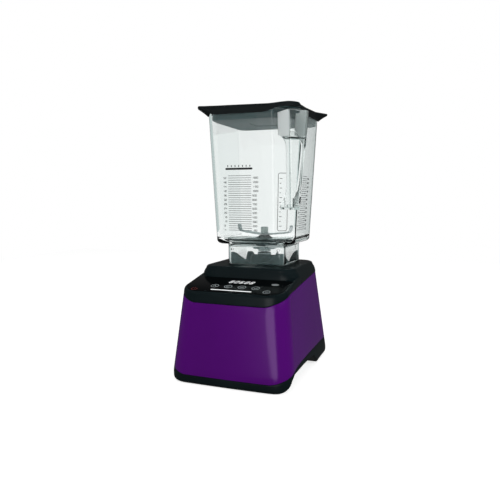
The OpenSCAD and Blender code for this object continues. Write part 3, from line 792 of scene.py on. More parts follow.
GRIP_X = 73
GRIP = fillet([(-121, -8, 0), (-112, 2.2, 8), (-104, 8.2, 14), (-96, 15.5, 10), (-88, 20.2, 8),
               (-40, 20.8, 40), (15, 19.2, 16), (41, 2.2, 8), (58, -2, 0), (60, -8, 0)], 6, closed=False)
POSTS = [(-62, -84), (62, -84), (-62, 73), (62, 73)]
FEET = [(-50, -100), (50, -100), (-66, 94), (66, 94)]
FOOT_R = 9
FLOOR_T = 4
POST_TOP = 62
GLAND_X = -46
GLAND_Z = 19


def grip_block(mesh, side, levels):
    """A block with the hand grip's side view. levels are (x, growth) from the middle outwards."""
    outline = [(-y, z) for y, z in GRIP]
    return mesh.loft([[(side * x, -u, v) for u, v in inset_outline(outline, -grow)] for x, grow in levels])


def bottom_cutters():
    """Cooling slots under the fan and at the front, screw holes and recesses for the feet."""
    mesh = Mesh().slots_round(18, 18, 40, 2, -2, 10)
    for i in range(-4, 5):
        mesh.slot(9 * i - 2, 9 * i + 2, -66, -36, -2, 10)
    for at in POSTS:
        mesh.lathe([(4.2, -2), (4.2, 5.2), (2.2, 5.2), (2.2, POST_TOP + 2)], 24, loop=False, centre=at)
    for at in FEET:
        mesh.lathe([(FOOT_R + 0.1, -2), (FOOT_R + 0.1, 2.5)], 40, loop=False, centre=at)
    return mesh


def base_pan():
    """The black pan below the paint: a tray with a rounded foot and a hand grip in each side."""
    rim_r = 0.6
    low_r = [lerp(5, 9, ease((y - 10) / 70)) for x, y in body_outline(PAN_FOOT)]

    def foot_rows(inset):
        return [body_row([PAN_FOOT + r * (1 - up) for r in low_r], [r * out + inset for r in low_r])
                for out, up in reversed(arc_profile(1, 7))]

    rows = foot_rows(0)
    for j in range(1, 5):
        rows.append(body_row([lerp(PAN_FOOT + r, z - SEAM - rim_r, j / 4) for r, z in zip(low_r, LOW_EDGE)]))
    rows += high_round(partial(body_row, LOW_EDGE), -SEAM, rim_r, 3)[1:]
    rows.append(body_row(LOW_EDGE, FLOOR_T, -SEAM))
    rows.append([(x, y, PAN_FOOT + FLOOR_T) for x, y, z in body_row(LOW_EDGE, FLOOR_T)])
    pan = to_object("lower_pan", Mesh().loft(rows), BLACK_ABS)
    added = Mesh()
    for side in (-1, 1):
        grip_block(added, side, [(GRIP_X - COVER_WALL, COVER_WALL), (87.5, COVER_WALL)])
    for at in POSTS:
        added.lathe([(5, PAN_FOOT + 1), (5, POST_TOP)], 32, loop=False, centre=at)
    blocks = to_object("added", added)
    below = rounded_rect(120, -150, 150, 5)
    combine(blocks, "DIFFERENCE", Mesh().loft([flat_ring(below, -30), flat_ring(below, PAN_FOOT + 1)]))
    within = foot_rows(0.5) + [flat_ring(body_outline(POST_TOP + 1, 0.5), POST_TOP + 1)]
    combine(blocks, "INTERSECT", Mesh().loft(within))
    combine(pan, "UNION", blocks)
    grips = Mesh()
    angles = [math.radians(degrees) for degrees in (0, 22, 44, 62, 76)]
    flare = [(88 + 2.6 * math.sin(a), 2.6 * (1 - math.cos(a))) for a in angles]
    for side in (-1, 1):
        grip_block(grips, side, [(GRIP_X, -1.5), (GRIP_X + 0.5, -0.5), (GRIP_X + 1.6, 0), *flare, (100, 3.6)])
    combine(pan, "DIFFERENCE", grips, bottom_cutters(), Mesh().bar(GLAND_X, GLAND_Z, 8.05, 100, 140, 40))
    add_piece("lower_pan", pan, BLACK_ABS, "base", ["base_pan"])


def rubber_feet():
    mesh = Mesh()
    profile = fillet([(0.01, 0, 0), (FOOT_R - 2.6, 0, 0), (FOOT_R, 0, 1), (FOOT_R, 2.4, 0.3), (0.01, 2.4, 0)],
                     4, closed=False)
    for at in FEET:
        mesh.lathe(profile, 40, loop=False, centre=at)
    add_piece("rubber_feet_round", mesh, RUBBER, "base", ["rubber_feet"])


def rear_switch():
    """A rocker switch in a rounded bezel, with the plain 0 and I marks."""
    rows = [upright_ring(7.75 - out, 10.75 - out, 2.2 - out, 0.9 + up) for out, up in arc_profile(0.7, 4)]
    rows.append(upright_ring(4.9, 8.4, 1.0, 1.6))
    rows += [upright_ring(4.9 - out, 8.4 - out, 0.8, 1.6 - up) for out, up in arc_profile(0.4, 3)]
    rows += [upright_ring(4.5, 8, 0.8, -7), upright_ring(6.5, 9.5, 1, -7), upright_ring(6.5, 9.5, 1, 0.05),
             upright_ring(7.75, 10.75, 2.2, 0.05)]
    mesh = Mesh().loft(rows, loop=True).place(back_frame())
    add_piece("switch_bezel", mesh, SWITCH, "base", ["switch_body"])

    frame_in_hole = back_frame() @ moved(0, -1, 0) @ turned(8, "X")
    side = fillet([(-3, -5, 1), (2, -7, 0.8), (3.6, -7, 0.8), (2.6, 0, 12), (3.6, 7, 0.8), (2, 7, 0.8),
                   (-3, 5, 1)])
    rocker = Mesh().loft([[(x, u, v) for u, v in inset_outline(side, inset)] for x, inset in
                          ((-4.1, 0.5), (-3.95, 0.15), (-3.6, 0), (3.6, 0), (3.95, 0.15), (4.1, 0.5))])
    rocker.place(frame_in_hole)
    add_piece("switch_rocker", rocker, SWITCH, "rocker", ["power_rocker"])
    # Painted glow: the printed marks take the back-lit panel white, so they glow a little though no lamp is
    # behind them
    marks = stroke(Mesh(), [(0, -5.4), (0, -3.2)], 0.5, 0.1)
    stroke(marks, arc_path(0, 4.4, 1.2, 0, 330, 14), 0.45, 0.1, closed=True)
    marks.place(frame_in_hole @ moved(0, 3.14, 0) @ turned(-90, "X"))
    add_piece("switch_marks", marks, PANEL_WHITE, "rocker")


base_pan()
rubber_feet()
rear_switch()

# ---- base: jar seat and coupling

SEAT_HOLE = 17


def seat_pad():
    """The soft crown: four corner posts with scalloped valleys between them."""
    half = PAD_HIGH.x
    top = PAD_HIGH.z
    foot = PLATFORM_Z + 0.5
    valley = PLATFORM_Z + 3
    chord = 35
    rise = top - valley
    scallop = (chord ** 2 + rise ** 2) / (2 * rise)
    edge = 1.4

    def wave(u):
        return valley + scallop - math.sqrt(scallop ** 2 - u * u) if abs(u) < chord else top + abs(u) - chord

    def soft_min(a, b, r=2.0):
        h = clamp(0.5 + 0.5 * (b - a) / r)
        return lerp(b, a, h) - r * h * (1 - h)

    def height(x, y):
        crown = soft_min(soft_min(wave(x), wave(y - AXIS_Y)), top, 2.4)
        collar = lerp(top - 2, valley - 2, ease((math.hypot(x, y - AXIS_Y) - 21) / 5))
        return max(crown, collar)

    def outline(inset):
        return square_ring(half - inset, 7 - inset, 8, 34)

    def ring(inset, lift):
        return [(x, y, height(x, y) + lift) for x, y in outline(inset)]

    rows = [flat_ring(outline(0.6), PLATFORM_Z), flat_ring(outline(0), foot)]
    rows += [[(x, y, lerp(foot, z, t)) for x, y, z in ring(0, -edge)] for t in (0.35, 0.7)]
    rows += high_round(ring, 0, edge, 5)
    start = outline(edge)
    hole = onto_circle(start, SEAT_HOLE, PLATFORM_Z)
    for t in (0.1, 0.2, 0.3, 0.4, 0.5, 0.6, 0.68, 0.75, 0.81, 0.87, 0.93, 0.97):
        between = [(lerp(x, u, t), lerp(y, v, t)) for (x, y), (u, v, _) in zip(start, hole)]
        rows.append([(x, y, height(x, y)) for x, y in between])
    rows += [[(x, y, height(x, y) - 0.5) for x, y, z in hole], hole]
    crown = Mesh().loft(rows, loop=True)
    add_piece("seat_crown", crown, SEAT_GREY, "base", ["jar_seat_pad"])


def star_ring(side, z):
    """A twelve-point spline made of three turned squares."""
    def radius(angle):
        turns = (angle, angle - math.radians(30), angle - math.radians(60))
        return max(side / 2 / max(abs(math.cos(a)), abs(math.sin(a))) for a in turns)
    return round_ring(radius, z, 96)


def drive_socket():
    """Bright coupling with a twelve-point hole and a grooved collar."""
    low, top, r = SOCKET_LOW.z, SOCKET_HIGH.z, SOCKET_HIGH.x
    groove = r - 0.9
    outer = fillet([(5, low, 0), (r - 2, low, 0.5), (r - 2, low + 6, 0.5), (r, low + 6, 0.8),
                    (r, top - 6, 0.4), (groove, top - 5.4, 0.4), (groove, top - 4.6, 0.4), (r, top - 4, 0.4),
                    (r, top, 1.4), (6.6, top, 0.5)], 4, closed=False)
    rows = [round_ring(radius, z, 96) for radius, z in outer]
    rows += [star_ring(9.6, top - 0.5), star_ring(8.4, top - 1.2), star_ring(8.4, top - 12)]
    add_piece("drive_coupling", Mesh().loft(rows), SOCKET_METAL, "rotor", ["drive_socket"])


seat_pad()
drive_socket()

# ---- jar

FLOOR_Z = 192
FLOOR_TOP = FLOOR_Z + 4
RIM_Z = JAR_HIGH.z
JAR_WALL = 3
JAR_R = 16
JAR_SLOPE = 9.5 / (RIM_Z - FLOOR_Z)
FLAT_SLOPE = 0.03
SKIRT_HALF = 47.2
SKIRT_R = 10
HANDLE_TURN = -45
DIAGONAL = axis_turn(HANDLE_TURN)

# The handle's outer face, inner edge and half-width at rising heights
HANDLE_OUT = [(240, 103.5), (387.5, 113)]
HANDLE_IN = [(246, 71), (252, 71), (256, 74), (260.5, 79), (265.5, 85), (271, 89), (278, 91.5), (300, 93.8),
             (330, 96.2), (337, 96.2), (343, 94), (347.5, 90.3), (351.5, 84.5), (353.8, 79), (355, 73),
             (388, 73)]
HANDLE_HALF = [(240, 8), (387.5, 16.5)]
HANDLE_LEVELS = [246, 249, 252, 254, 256, 258, 260.5, 263, 265.5, 268, 271, 274, 278, 284, 300, 320, 330, 337,
                 340, 343, 345.4, 347.5, 349.6, 351.5, 352.8, 353.8, 354.5, 355, 362, 375]
HANDLE_TOP = 387.5

PRINT_GAP = 0.06
PRINT_Z = 214
SCALE_LINES = 26
SCALE_STEP = 3.31
GAUGE_STEP = 7.1


def jar_half(z):
    return 62 + JAR_SLOPE * (z - FLOOR_Z)


def flat_dist(z):
    """Distance of the flat fifth wall from the jar's axis."""
    return 70 + FLAT_SLOPE * (z - FLOOR_Z)


def jar_ring(z, inset=0.0, r=None, level=None):
    """The jar's outline at height z, or another level's outline set at z. One corner is cut flat."""
    level = z if level is None else level
    h = jar_half(level) - inset
    d = (flat_dist(level) - inset) * math.sqrt(2)
    r = r or max(3, JAR_R - inset / 2)
    low = min(6.0, r)
    corners = [(d - h, -h, low), (h, h - d, low), (h, h, r), (-h, h, r), (-h, -h, r)]
    return [(x, y + AXIS_Y, z) for x, y in fillet(corners, 8)]


def handle_ring(z, inset=0.0, cut=0.0):
    """Section of the hollow handle: an outer face and two side wings that reach back to the jar."""
    out = along(HANDLE_OUT, z) - inset - cut
    inner = along(HANDLE_IN, z)
    half = along(HANDLE_HALF, z) - inset
    t = JAR_WALL - 2 * inset
    lip = min(1.2, t / 2.2)
    deep = out - t
    side = half - t
    corners = [(inner, -half, lip), (out, -half, 4), (out, half, 4), (inner, half, lip), (inner, side, lip),
               (deep, side, 1.8), (deep, -side, 1.8), (inner, -side, lip)]
    return flat_ring(fillet(corners, 4), z)


def handle_solid():
    rows = [handle_ring(z) for z in HANDLE_LEVELS]
    rows += high_round(lambda out, z: handle_ring(z, 0, out), HANDLE_TOP, 6, 6)[:-1]
    rows.append(handle_ring(HANDLE_TOP, 0.5, 4.6))
    return Mesh().loft(rows).place(DIAGONAL)


def handle_foot():
    """A floor across the handle's hollow at its lower end."""
    rows = []
    for z in (246.5, 249.5):
        out = along(HANDLE_OUT, z) - 1.5
        half = along(HANDLE_HALF, z) - 1.5
        corners = [(71.5, -half, 0), (out, -half, 2.5), (out, half, 2.5), (71.5, half, 0)]
        rows.append(flat_ring(fillet(corners, 4), z))
    return Mesh().loft(rows).place(DIAGONAL)


def handle_top():
    """The sloping floor that closes the handle's hollow above the fingers."""
    rows = []
    for x, z in [(72.5, 362.5), (80, 357.5), (86, 352.5), (90.5, 348.6), (96, 346.8), (107.5, 346.8)]:
        half = along(HANDLE_HALF, z) - 1.5
        rows.append([(x, -half, z), (x, half, z), (x, half, z + 2.6), (x, -half, z + 2.6)])
    return Mesh().loft(rows).place(DIAGONAL)


def jar_outside():
    foot_r = 6.5
    foot = FLOOR_Z + foot_r
    rows = low_round(lambda out, z: jar_ring(z, out, max(6, JAR_R - out / 2), foot), FLOOR_Z, foot_r, 7)
    rows += [jar_ring(z) for z in (220, 250, 300, 350, 385)]
    return Mesh().loft(rows + high_round(lambda out, z: jar_ring(z, out), RIM_Z, 1.4, 4))


def jar_inside():
    floor_r = 9
    level = FLOOR_TOP + floor_r
    rows = low_round(lambda out, z: jar_ring(z, JAR_WALL + out, 14, level), FLOOR_TOP, floor_r, 8)
    rows += [jar_ring(z, JAR_WALL) for z in (225, 250, 300, 350, 385)]
    rows += [jar_ring(RIM_Z + up, JAR_WALL - less, None, RIM_Z)
             for less, up in ((0, -1.2), (0.25, -0.5), (0.8, -0.05), (1.6, 1.2))]
    return Mesh().loft(rows)


def skirt_ring(grow, r, z):
    """The square skirt that stands round the seat pad, grown by some millimetres."""
    return flat_ring(square_ring(SKIRT_HALF + grow, r), z)


def skirt_outside():
    rows = low_round(lambda out, z: skirt_ring(-out, SKIRT_R - out, z), JAR_LOW.z, 1.2, 4)
    rows.append(skirt_ring(0, SKIRT_R, 187))
    rows += [skirt_ring(2.5 * t * t, SKIRT_R + 2.5 * t * t, 188 + 4.5 * t) for t in (0.2, 0.5, 0.8, 1.0)]
    rows.append(skirt_ring(2.5, SKIRT_R + 2.5, 194))
    return Mesh().loft(rows)


def skirt_inside():
    """The hollow below the jar's floor, less the hub that holds the bearings."""
    rows = [skirt_ring(grow - JAR_WALL, r, z) for grow, r, z in
            ((1.5, 8.5, 158), (0.8, 7.8, JAR_LOW.z + 0.2), (0, 7, JAR_LOW.z + 1.4), (0, 7, 186))]
    rows += [skirt_ring(-JAR_WALL - out, 7, 187 + up) for out, up in arc_profile(3, 5)[1:]]
    hub = fillet([(0.01, 188.7, 0), (19, 188.7, 1), (19.5, 193, 0), (0.01, 193, 0)], 3, closed=False)
    return combine(to_object("hollow", Mesh().loft(rows)), "DIFFERENCE", Mesh().lathe(hub, 64, loop=False))


def jar():
    vessel = to_object("jar_clear", jar_outside(), CLEAR)
    combine(vessel, "UNION", handle_solid(), handle_foot(), handle_top(), skirt_outside())
    drains = Mesh()
    for x in (-38, 38):
        for y0, y1 in ((-60, -38), (38, 60)):
            drains.bar(x, 183, 2, AXIS_Y + y0, AXIS_Y + y1, 24)
    shaft_hole = Mesh().lathe([(12.05, 180), (12.05, 230)], 64, loop=False)
    combine(vessel, "DIFFERENCE", jar_inside(), skirt_inside(), shaft_hole, drains)
    vessel.data.materials.append(WING_HIGHLIGHT)
    # Painted highlight: the faces where the wings stand beside the hollow above the fingers take a whitish,
    # half-clear, rough material, so that they look light
    inward = DIAGONAL.inverted()
    for face in vessel.data.polygons:
        at = inward @ (face.center * 1000)
        across = abs((inward.to_3x3() @ face.normal).y)
        if at.z > 352 and at.x > 76 and abs(at.y) > 10 and across > 0.9:
            face.material_index = 1
    add_piece("jar_clear", vessel, CLEAR, "jar", ["jar"])


def wall_frame(turn, dist, slope, z):
    """Places things drawn on a leaning wall of the jar: x across, y up from height z."""
    return (axis_turn(turn) @ moved(dist(z) + PRINT_GAP, 0, z) @ turned(90, "Z")
            @ turned(90 + math.degrees(math.atan(slope)), "X"))


def add_print(name, mesh, material, place):
    add_piece(name, mesh.place(place), material, "jar")


def scale_print(name, left, right, place):
    """Level lines with numerals at both ends of every second one."""
    lines = Mesh()
    numbers = Mesh()
    for i in range(SCALE_LINES):
        y = SCALE_STEP * i
        stroke(lines, [(left, y), (right, y)], 0.75)
        if i % 2 == 0:
            for value, x in ((4, left - 7.2), (100, right + 1.8)):
                numerals(numbers, str(value * (i // 2 + 1)), x, y - 1.2, 1.7, 2.4, 0.5, 0.8)
    add_print(name + "_lines", lines, INK_GREY, place)
    add_print(name + "_numbers", numbers, INK, place)


def jar_prints():
    """Two scales, a plain outlined gauge on the flat wall and a plain full mark."""
    scale_print("front_scale", -36, 1.5, wall_frame(-90, jar_half, JAR_SLOPE, PRINT_Z))
    scale_print("side_scale", -22, 12, wall_frame(0, jar_half, JAR_SLOPE, PRINT_Z))
    gauge = stroke(Mesh(), rect(-13, 3, 0, 86, 3, 6), 0.8, closed=True)
    for i in range(1, 12):
        stroke(gauge, [(-10.5, GAUGE_STEP * i), (-6.2 if i % 2 else -8, GAUGE_STEP * i)], 0.8)
    add_print("level_gauge", gauge, INK, wall_frame(HANDLE_TURN, flat_dist, FLAT_SLOPE, PRINT_Z))
    mark = Mesh().plate(rect(-40, 4, -1.5, 1.5, 1.4, 5), 0, 0.14, 0.04)
    for x in range(-36, 4, 6):
        stroke(mark, [(x, 2.6), (x, 5.6)], 1.3, 0.14)
    add_print("full_mark", mark, INK, wall_frame(-90, jar_half, JAR_SLOPE, 307))


jar()
jar_prints()

# ---- jar: bearing hub, nuts and blade


def bearing_hub():
    """The grey cone in the jar's floor, with fine ribs on its slope."""
    low, high, floor = HUB_LOW.z, HUB_HIGH.z, FLOOR_TOP
    profile = [(8, low, 0), (11.6, low, 0), (12, low + 0.4, 0), (12, floor, 0), (14.9, floor, 0),
               (15.2, floor + 0.4, 0), (14.7, floor + 1.0, 0.1), (12.6, floor + 2.8, 0.22),
               (10.4, floor + 4.8, 0.22), (8.9, high - 0.9, 0.1), (8.4, high - 0.3, 0), (8, high, 0),
               (6, high, 0), (6, FLOOR_Z + 6.5, 0), (8, FLOOR_Z + 6.5, 0)]
    rows = [round_ring(lambda a, r=r, rib=rib: r + rib * math.cos(24 * a), z, 144) for r, z, rib in profile]
    add_piece("bearing_hub", Mesh().loft(rows, loop=True), HUB_GREY, "jar", ["bearing_housing"])


def retainer():
    """The bright nut under the jar's floor, with spanner notches."""
    low, high, r = RETAINER_LOW.z, RETAINER_HIGH.z, RETAINER_HIGH.x
    profile = fillet([(12, low, 0.4), (r, low, 0.9), (r, high, 0.5), (12, high, 0.3)], 3)
    nut = to_object("floor_nut", Mesh().lathe(profile, 96), NUT_STEEL)
    combine(nut, "DIFFERENCE", Mesh().slots_round(6, 17, 24, 2, low - 1, high + 1))
    add_piece("floor_nut", nut, NUT_STEEL, "jar", ["retaining_nut"])


def blade():
    """One bent bar with upturned tips and ground edges."""
    low, tip = BLADE_LOW.z, BLADE_HIGH.z
    path = [(0, low + 1.3), (6, low + 1.3), (10, low + 1.35), (20, low + 2.2), (32, low + 3.4),
            (42, low + 4.8), (44.8, low + 5.6), (46.4, low + 7.4), (47.1, low + 10), (47.6, low + 13),
            (47.9, tip - 0.6), (48, tip - 0.2)]
    widths = [(0, 10), (3, 9.6), (6, 8.4), (9, 7.6), (20, 7.2), (42, 6.0), (46, 5.6), (47.5, 5.4)]
    line = [(-x, z) for x, z in reversed(path[1:])] + path
    last = len(line) - 1
    edge = 0.3
    bevel = 2.8
    rows = []
    for i, (x, z) in enumerate(line):
        x0, z0 = line[max(0, i - 1)]
        x1, z1 = line[min(last, i + 1)]
        up = Vector((z0 - z1, x1 - x0)).normalized()
        w = along(widths, abs(x)) - (1.6 if i in (0, last) else 0)
        t = 0.7 if i in (0, last) else 1.3
        section = [(-w, -edge), (bevel - w, -t), (w - bevel, -t), (w, -edge), (w, edge), (w - bevel, t),
                   (bevel - w, t), (-w, edge)]
        rows.append([(x + up.x * v, u, z + up.y * v) for u, v in section])
    mesh = Mesh().loft(rows).place(axis_turn(-10))
    add_piece("cutting_blade", mesh, BLADE_STEEL, "blade", ["blade"], 20)


def blade_nut():
    low, high = NUT_LOW.z, NUT_HIGH.z
    shell = fillet([(4.1, low, 0), (6, low, 0.4), (6, high, 1.1), (0.01, high, 0)], 4, closed=False)
    nut = Mesh().lathe([(0.01, high - 2.2), (4.1, high - 2.2)] + shell, 48, loop=False)
    add_piece("blade_cap_nut", nut, NUT_GREY, "blade", ["blade_nut"])


def blade_shaft():
    """The splined stub with its collar, and the round shaft above it."""
    rows = [star_ring(side, z) for side, z in ((6.6, 168), (7.6, 168.7), (7.6, 179.6), (13.6, 179.7),
                                               (14.4, 180.2), (14.4, 182), (13.2, 182.5))]
    rows += [round_ring(r, z, 96) for r, z in
             ((5, 182.6), (5, 183.2), (4.7, 183.5), (4, 183.5), (4, 213.6), (3.6, 214))]
    add_piece("splined_shaft", Mesh().loft(rows), STEEL, "blade", ["blade_shaft"])


bearing_hub()
retainer()
blade()
blade_nut()
blade_shaft()

# ---- lid

EAR_TURN = math.radians(40.94)
LID_HALF = 74
LID_REACH = 109.4
LID_UNDER = 398.4
CLOSE = 0.02
# Heights of the lid's upper and lower edge along each side
FRONT_TOP = [(-74, 402.9), (-40, 401.2), (-8, 400.6), (33, 399.8), (50, 401.0), (60, 401.3), (74, 401.0)]
RIGHT_TOP = [(-74, 401.0), (-58, 400.8), (-54.5, 397.6), (20, 400.3), (60, 401.7), (74, 402)]
LEFT_TOP = [(-74, 402.9), (-40, LID_TOP), (74, LID_TOP)]
BACK_TOP = [(-74, LID_TOP), (74, LID_TOP)]
FRONT_LOW = [(-74, 394.5), (-67, 391.6), (-57, 388.2), (24, 388), (34, 390.6), (45, 394.6), (74, 394.6)]
RIGHT_LOW = [(-74, 394.6), (-46, 394.6), (-34, 391), (-24, 388), (56, 388), (64, 390.4), (74, 392.5)]
LEFT_LOW = [(-74, 392.5), (-66, 390), (-58, 388), (74, 388)]
BACK_LOW = [(-74, 388), (56, 388), (66, 391), (74, 393)]


def lid_outline(reach, inset=0.0):
    """The lid seen from above: a rounded square whose front left and back right corners grow into ears.

    reach runs from 0, for plain corners, to 1, for the whole ears.
    """
    h = LID_HALF - inset
    u = Vector((math.cos(EAR_TURN), math.sin(EAR_TURN)))
    v = Vector((-u.y, u.x))
    tip = u * (LID_REACH - inset)
    a = Vector((h, h - 13)).lerp(tip - v * (5.7 - inset), reach)
    b = Vector((h - 13, h)).lerp(tip + v * (3.6 - inset), reach)
    r = lerp(12, 4.4 - inset, reach)
    plain = 17 - inset
    corners = [(h, -h, plain), (h, 34, 26), (a.x, a.y, r), (b.x, b.y, r), (34, h, 26), (-h, h, plain),
               (-h, -34, 26), (-a.x, -a.y, r), (-b.x, -b.y, r), (-34, -h, 26)]
    outline = fillet(corners, 8)
    dense = []
    for i, p in enumerate(outline):
        q = outline[(i + 1) % len(outline)]
        run = 10 if i % 9 == 8 else 1
        dense += [(lerp(p[0], q[0], j / run), lerp(p[1], q[1], j / run)) for j in range(run)]
    return dense


def side_height(x, y, front, right, left, back):
    if abs(y) >= abs(x):
        return along(front if y < 0 else back, clamp(x, -LID_HALF, LID_HALF))
    return along(right if x > 0 else left, clamp(y, -LID_HALF, LID_HALF))


def lid():
    base = lid_outline(CLOSE)
    low = [side_height(*at, FRONT_LOW, RIGHT_LOW, LEFT_LOW, BACK_LOW) for at in base]
    top = [side_height(*at, FRONT_TOP, RIGHT_TOP, LEFT_TOP, BACK_TOP) for at in base]

    def row(reach, inset, heights, lift=0.0):
        return [(x, AXIS_Y + y, z + lift) for (x, y), z in zip(lid_outline(reach, inset), heights)]

    rows = [row(CLOSE, 0.7, low), row(CLOSE, 0.2, low, 0.2), row(0.03, 0, low, 0.7)]
    rows += [row(t, 0, [lerp(z + 0.7, LID_UNDER, t) for z in low]) for t in (0.2, 0.4, 0.6, 0.8, 0.93)]
    rows.append(row(0.99, 0.3, [LID_UNDER + 0.1] * len(base)))
    rows.append(row(1, 0, [min(LID_UNDER + 0.9, z - 1.3) for z in top]))
    rows += high_round(lambda out, lift: row(1, out, top, lift), 0, 1.2, 4)
    rows += [row(CLOSE, 8, top), row(CLOSE, 12, [min(LID_TOP, z + 0.3) for z in top])]
    flat = rows[-1]
    rows += [onto_circle(flat, r, LID_TOP - drop) for r, drop in ((44, 0), (27.5, 0), (27, 0.5), (27, 3))]
    rows += [row(CLOSE, inset, [min(LID_TOP - drop, z + 1.4 - drop) for z in top])
             for inset, drop in ((2.6, 3), (1.9, 3.6))]
    rows += [row(CLOSE, 1.9, low, 0.4), row(CLOSE, 1.3, low)]
    add_piece("lid_rim", Mesh().loft(rows, loop=True), LID_BLACK, "lid", ["lid_shell"], 32)


def plug():
    """The grey stopper in the jar's mouth: a flat underside, leaning sides and a flange on the rim."""
    cover = LID_TOP - 3.1
    gap = JAR_WALL + 0.6
    hole_r = 25.05

    def cover_height(x, y):
        """Just below the lid's top, which dips beside the handle."""
        beside = x > 30 and y < AXIS_Y + 30
        dip = min(along(RIGHT_TOP, y - AXIS_Y), along(FRONT_TOP, x)) if beside else LID_TOP
        return min(cover, max(RIM_Z + 0.9, dip - 1.7))

    rows = low_round(lambda out, z: jar_ring(z, gap + out, 14, PLUG_Z), PLUG_Z, 2.2, 5)
    rows += [jar_ring(RIM_Z - 0.8, gap, 14, PLUG_Z), jar_ring(RIM_Z + 0.4, gap + 0.4, 14, PLUG_Z),
             jar_ring(RIM_Z + 0.4, 0.4, 17, RIM_Z), jar_ring(RIM_Z + 0.8, 0, 17, RIM_Z)]
    top = rows[-1]
    rows += [[(lerp(x, 0, t), lerp(y, AXIS_Y, t), cover_height(x, y)) for x, y, z in top] for t in (0, 0.2)]
    rows += [onto_circle(top, r, z) for r, z in
             ((hole_r, cover), (hole_r, PLUG_Z + 0.5), (1.02 * hole_r, PLUG_Z))]
    add_piece("lid_stopper", Mesh().loft(rows, loop=True), LID_GREY, "lid", ["lid_plug"])


def cap():
    """The vent cap: a slotted black flange on a hollow grey stem."""
    seat = LID_TOP + 0.05
    joint = seat - 1.5
    profile = fillet([(24.2, joint, 0), (24.6, seat - 1, 0.3), (24.6, seat, 0.3), (32, seat, 0.8),
                      (32, CAP_TOP, 1.3), (22, CAP_TOP, 0.4), (19.5, CAP_TOP - 1.1, 0.4),
                      (0.05, CAP_TOP - 1.1, 0), (0.05, joint, 0)], 3)
    piece = to_object("vent_top", Mesh().lathe(profile, 96), LID_BLACK)
    combine(piece, "DIFFERENCE", Mesh().slots_round(8, 12, 19, 1.5, LID_TOP - 5, CAP_TOP + 3))
    add_piece("vent_top", piece, LID_BLACK, "vent_cap", ["vent_cap"])
    floor = PLUG_Z + 0.8
    profile = fillet([(0.05, floor, 0), (24.6, floor, 0.8), (24.6, joint, 0.3), (21.6, joint, 0.3),
                      (21.6, floor + 3, 1), (0.05, floor + 3, 0)], 3)
    add_piece("vent_stem", Mesh().lathe(profile, 96), LID_GREY, "vent_cap")


lid()
plug()
cap()

# ---- cord gland and the carried-over CAD nodes


def gland():
    """The rounded collar where a mains lead would enter. The lead itself is left out."""
    profile = fillet([(3.9, 104, 0.3), (8, 104, 0.4), (8, 109, 0.3), (10.5, 109, 0.6), (10.5, 112, 1.2),
                      (8, 112, 0.6), (7.2, 118, 1.4), (3.9, 118, 0.8)], 4)
    mesh = Mesh().lathe(profile, 56, centre=(0, 0)).place(moved(GLAND_X, 0, GLAND_Z) @ turned(-90, "X"))
    add_piece("lead_collar", mesh, GLAND, "base", ["cord_gland"])


NODE_LOOKS = (
    (BOARD, "touch_board power_board"), (DISPLAY, "display_module"), (HEAT_SINK, "board_heat_sink"),
    (CAN, "board_capacitors"), (ZINC, "housing_screws isolator_screws stator_bolts"), (DUCT, "air_duct"),
    (RUBBER, "motor_isolators shaft_seal"), (CAST, "upper_bracket lower_bracket"),
    (BEARING_STEEL, "upper_bearing lower_bearing blade_bearings"), (LAMINATION, "stator_core armature_core"),
    (COPPER, "field_windings armature_windings commutator"), (BRASS, "brush_holders"),
    (SPRING, "brush_springs"), (CARBON, "carbon_brushes"), (STEEL, "motor_shaft"), (FAN, "cooling_fan"))

gland()
for look, nodes in NODE_LOOKS:
    for node in nodes.split():
        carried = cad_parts[node].data
        carried.materials.clear()
        carried.materials.append(look)

# ---- stage, lights and camera


def stage():
    """A plain pale floor. It glows for the camera only, so that it stays as white as the surround."""
    size = 1500
    corners = [(-size, -size), (size, -size), (size, size), (-size, size)]
    slab = Mesh().loft([flat_ring(corners, -6), flat_ring(corners, 0)])
    material, _, _ = new_material("pale_floor", (0.5, 0.5, 0.5), 0.9, Specular_IOR_Level=0.0,
                                  Emission_Color=(1, 1, 1, 1), Emission_Strength=0.75)
    floor = to_object("floor", slab, material)
    floor.visible_glossy = False
    floor.visible_diffuse = False


def soft_light(name, at, towards, size, power, mirrored=False):
    """A rectangular lamp that only lights. Where mirrored is true, it also shows in reflections."""
    data = bpy.data.lights.new(name, "AREA")
    data.shape = "RECTANGLE"
    data.size, data.size_y = size
    data.energy = power
    lamp = new_object(name, data)
    lamp.location = at
    lamp.visible_camera = False
    lamp.visible_transmission = False
    lamp.visible_glossy = mirrored
    lamp.rotation_euler = (Vector(towards) - Vector(at)).to_track_quat("-Z", "Z").to_euler()


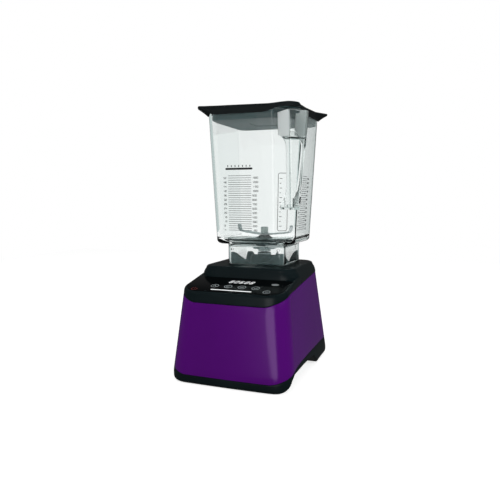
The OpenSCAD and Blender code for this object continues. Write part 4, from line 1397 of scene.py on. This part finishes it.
def world_light():
    """White behind the object and through its clear parts, grey for its shading, dim for its reflections."""
    world = bpy.data.worlds.new("studio")
    bpy.context.scene.world = world
    world.use_nodes = True
    tree = world.node_tree
    place = add_node(tree, "TexCoord").outputs["Generated"]
    up = add_node(tree, "SeparateXYZ", Vector=place).outputs["Z"]
    reflected = ramp_between(tree, up, (0.08, 0.08, 0.08), (0.14, 0.14, 0.14), 0.1, 0.9)
    path = add_node(tree, "LightPath")

    def choose(factor, off, on):
        """off where factor is 0, and on where it is 1."""
        mix = add_node(tree, "Mix")
        mix.data_type = "RGBA"
        return feed(tree, mix, Factor=path.outputs[factor], A=off, B=on).outputs["Result"]

    color = choose("Is Diffuse Ray", reflected, (0.42, 0.42, 0.42, 1))
    through = choose("Glossy Depth", (0.97, 0.97, 0.97, 1), (0.54, 0.62, 0.61, 1))
    color = choose("Is Transmission Ray", color, through)
    color = choose("Is Camera Ray", color, (1, 1, 1, 1))
    feed(tree, tree.nodes["Background"], Color=color)


def camera():
    """Right of the front, level with the middle of the jar."""
    yaw = math.radians(20.96)
    tilt = math.radians(5.68)
    data = bpy.data.cameras.new("camera")
    data.sensor_width = 36
    data.lens = 38.06
    data.clip_start = 0.01
    eye = new_object("camera", data)
    eye.location = (0.2856, -0.7677, 0.2640)
    eye.rotation_euler = (math.pi / 2 - tilt, 0, yaw)
    bpy.context.scene.camera = eye


stage()
world_light()
soft_light("overhead", (0.1, 0.2, 1.6), (0, 0, 0), (1.6, 1.6), 5)
soft_light("left_fill", (-1.1, -0.9, 0.8), (0, 0, 0.1), (0.7, 0.7), 4)
soft_light("right_fill", (1.3, -0.1, 0.7), (0, 0, 0.1), (0.7, 0.7), 9)
soft_light("front_top", (-0.1, -0.5, 0.5), (0, -0.1, 0.1), (0.3, 0.2), 0.55)
soft_light("band_edge", (-0.24, -1.36, 0.19), (0, -0.1, 0.08), (0.3, 0.7), 0.25, True)
soft_light("corner_strip", (0.39, -1.36, 0.19), (0.08, -0.1, 0.08), (1.05, 0.7), 4.8, True)
camera()
bpy.context.scene.view_settings.view_transform = "Standard"
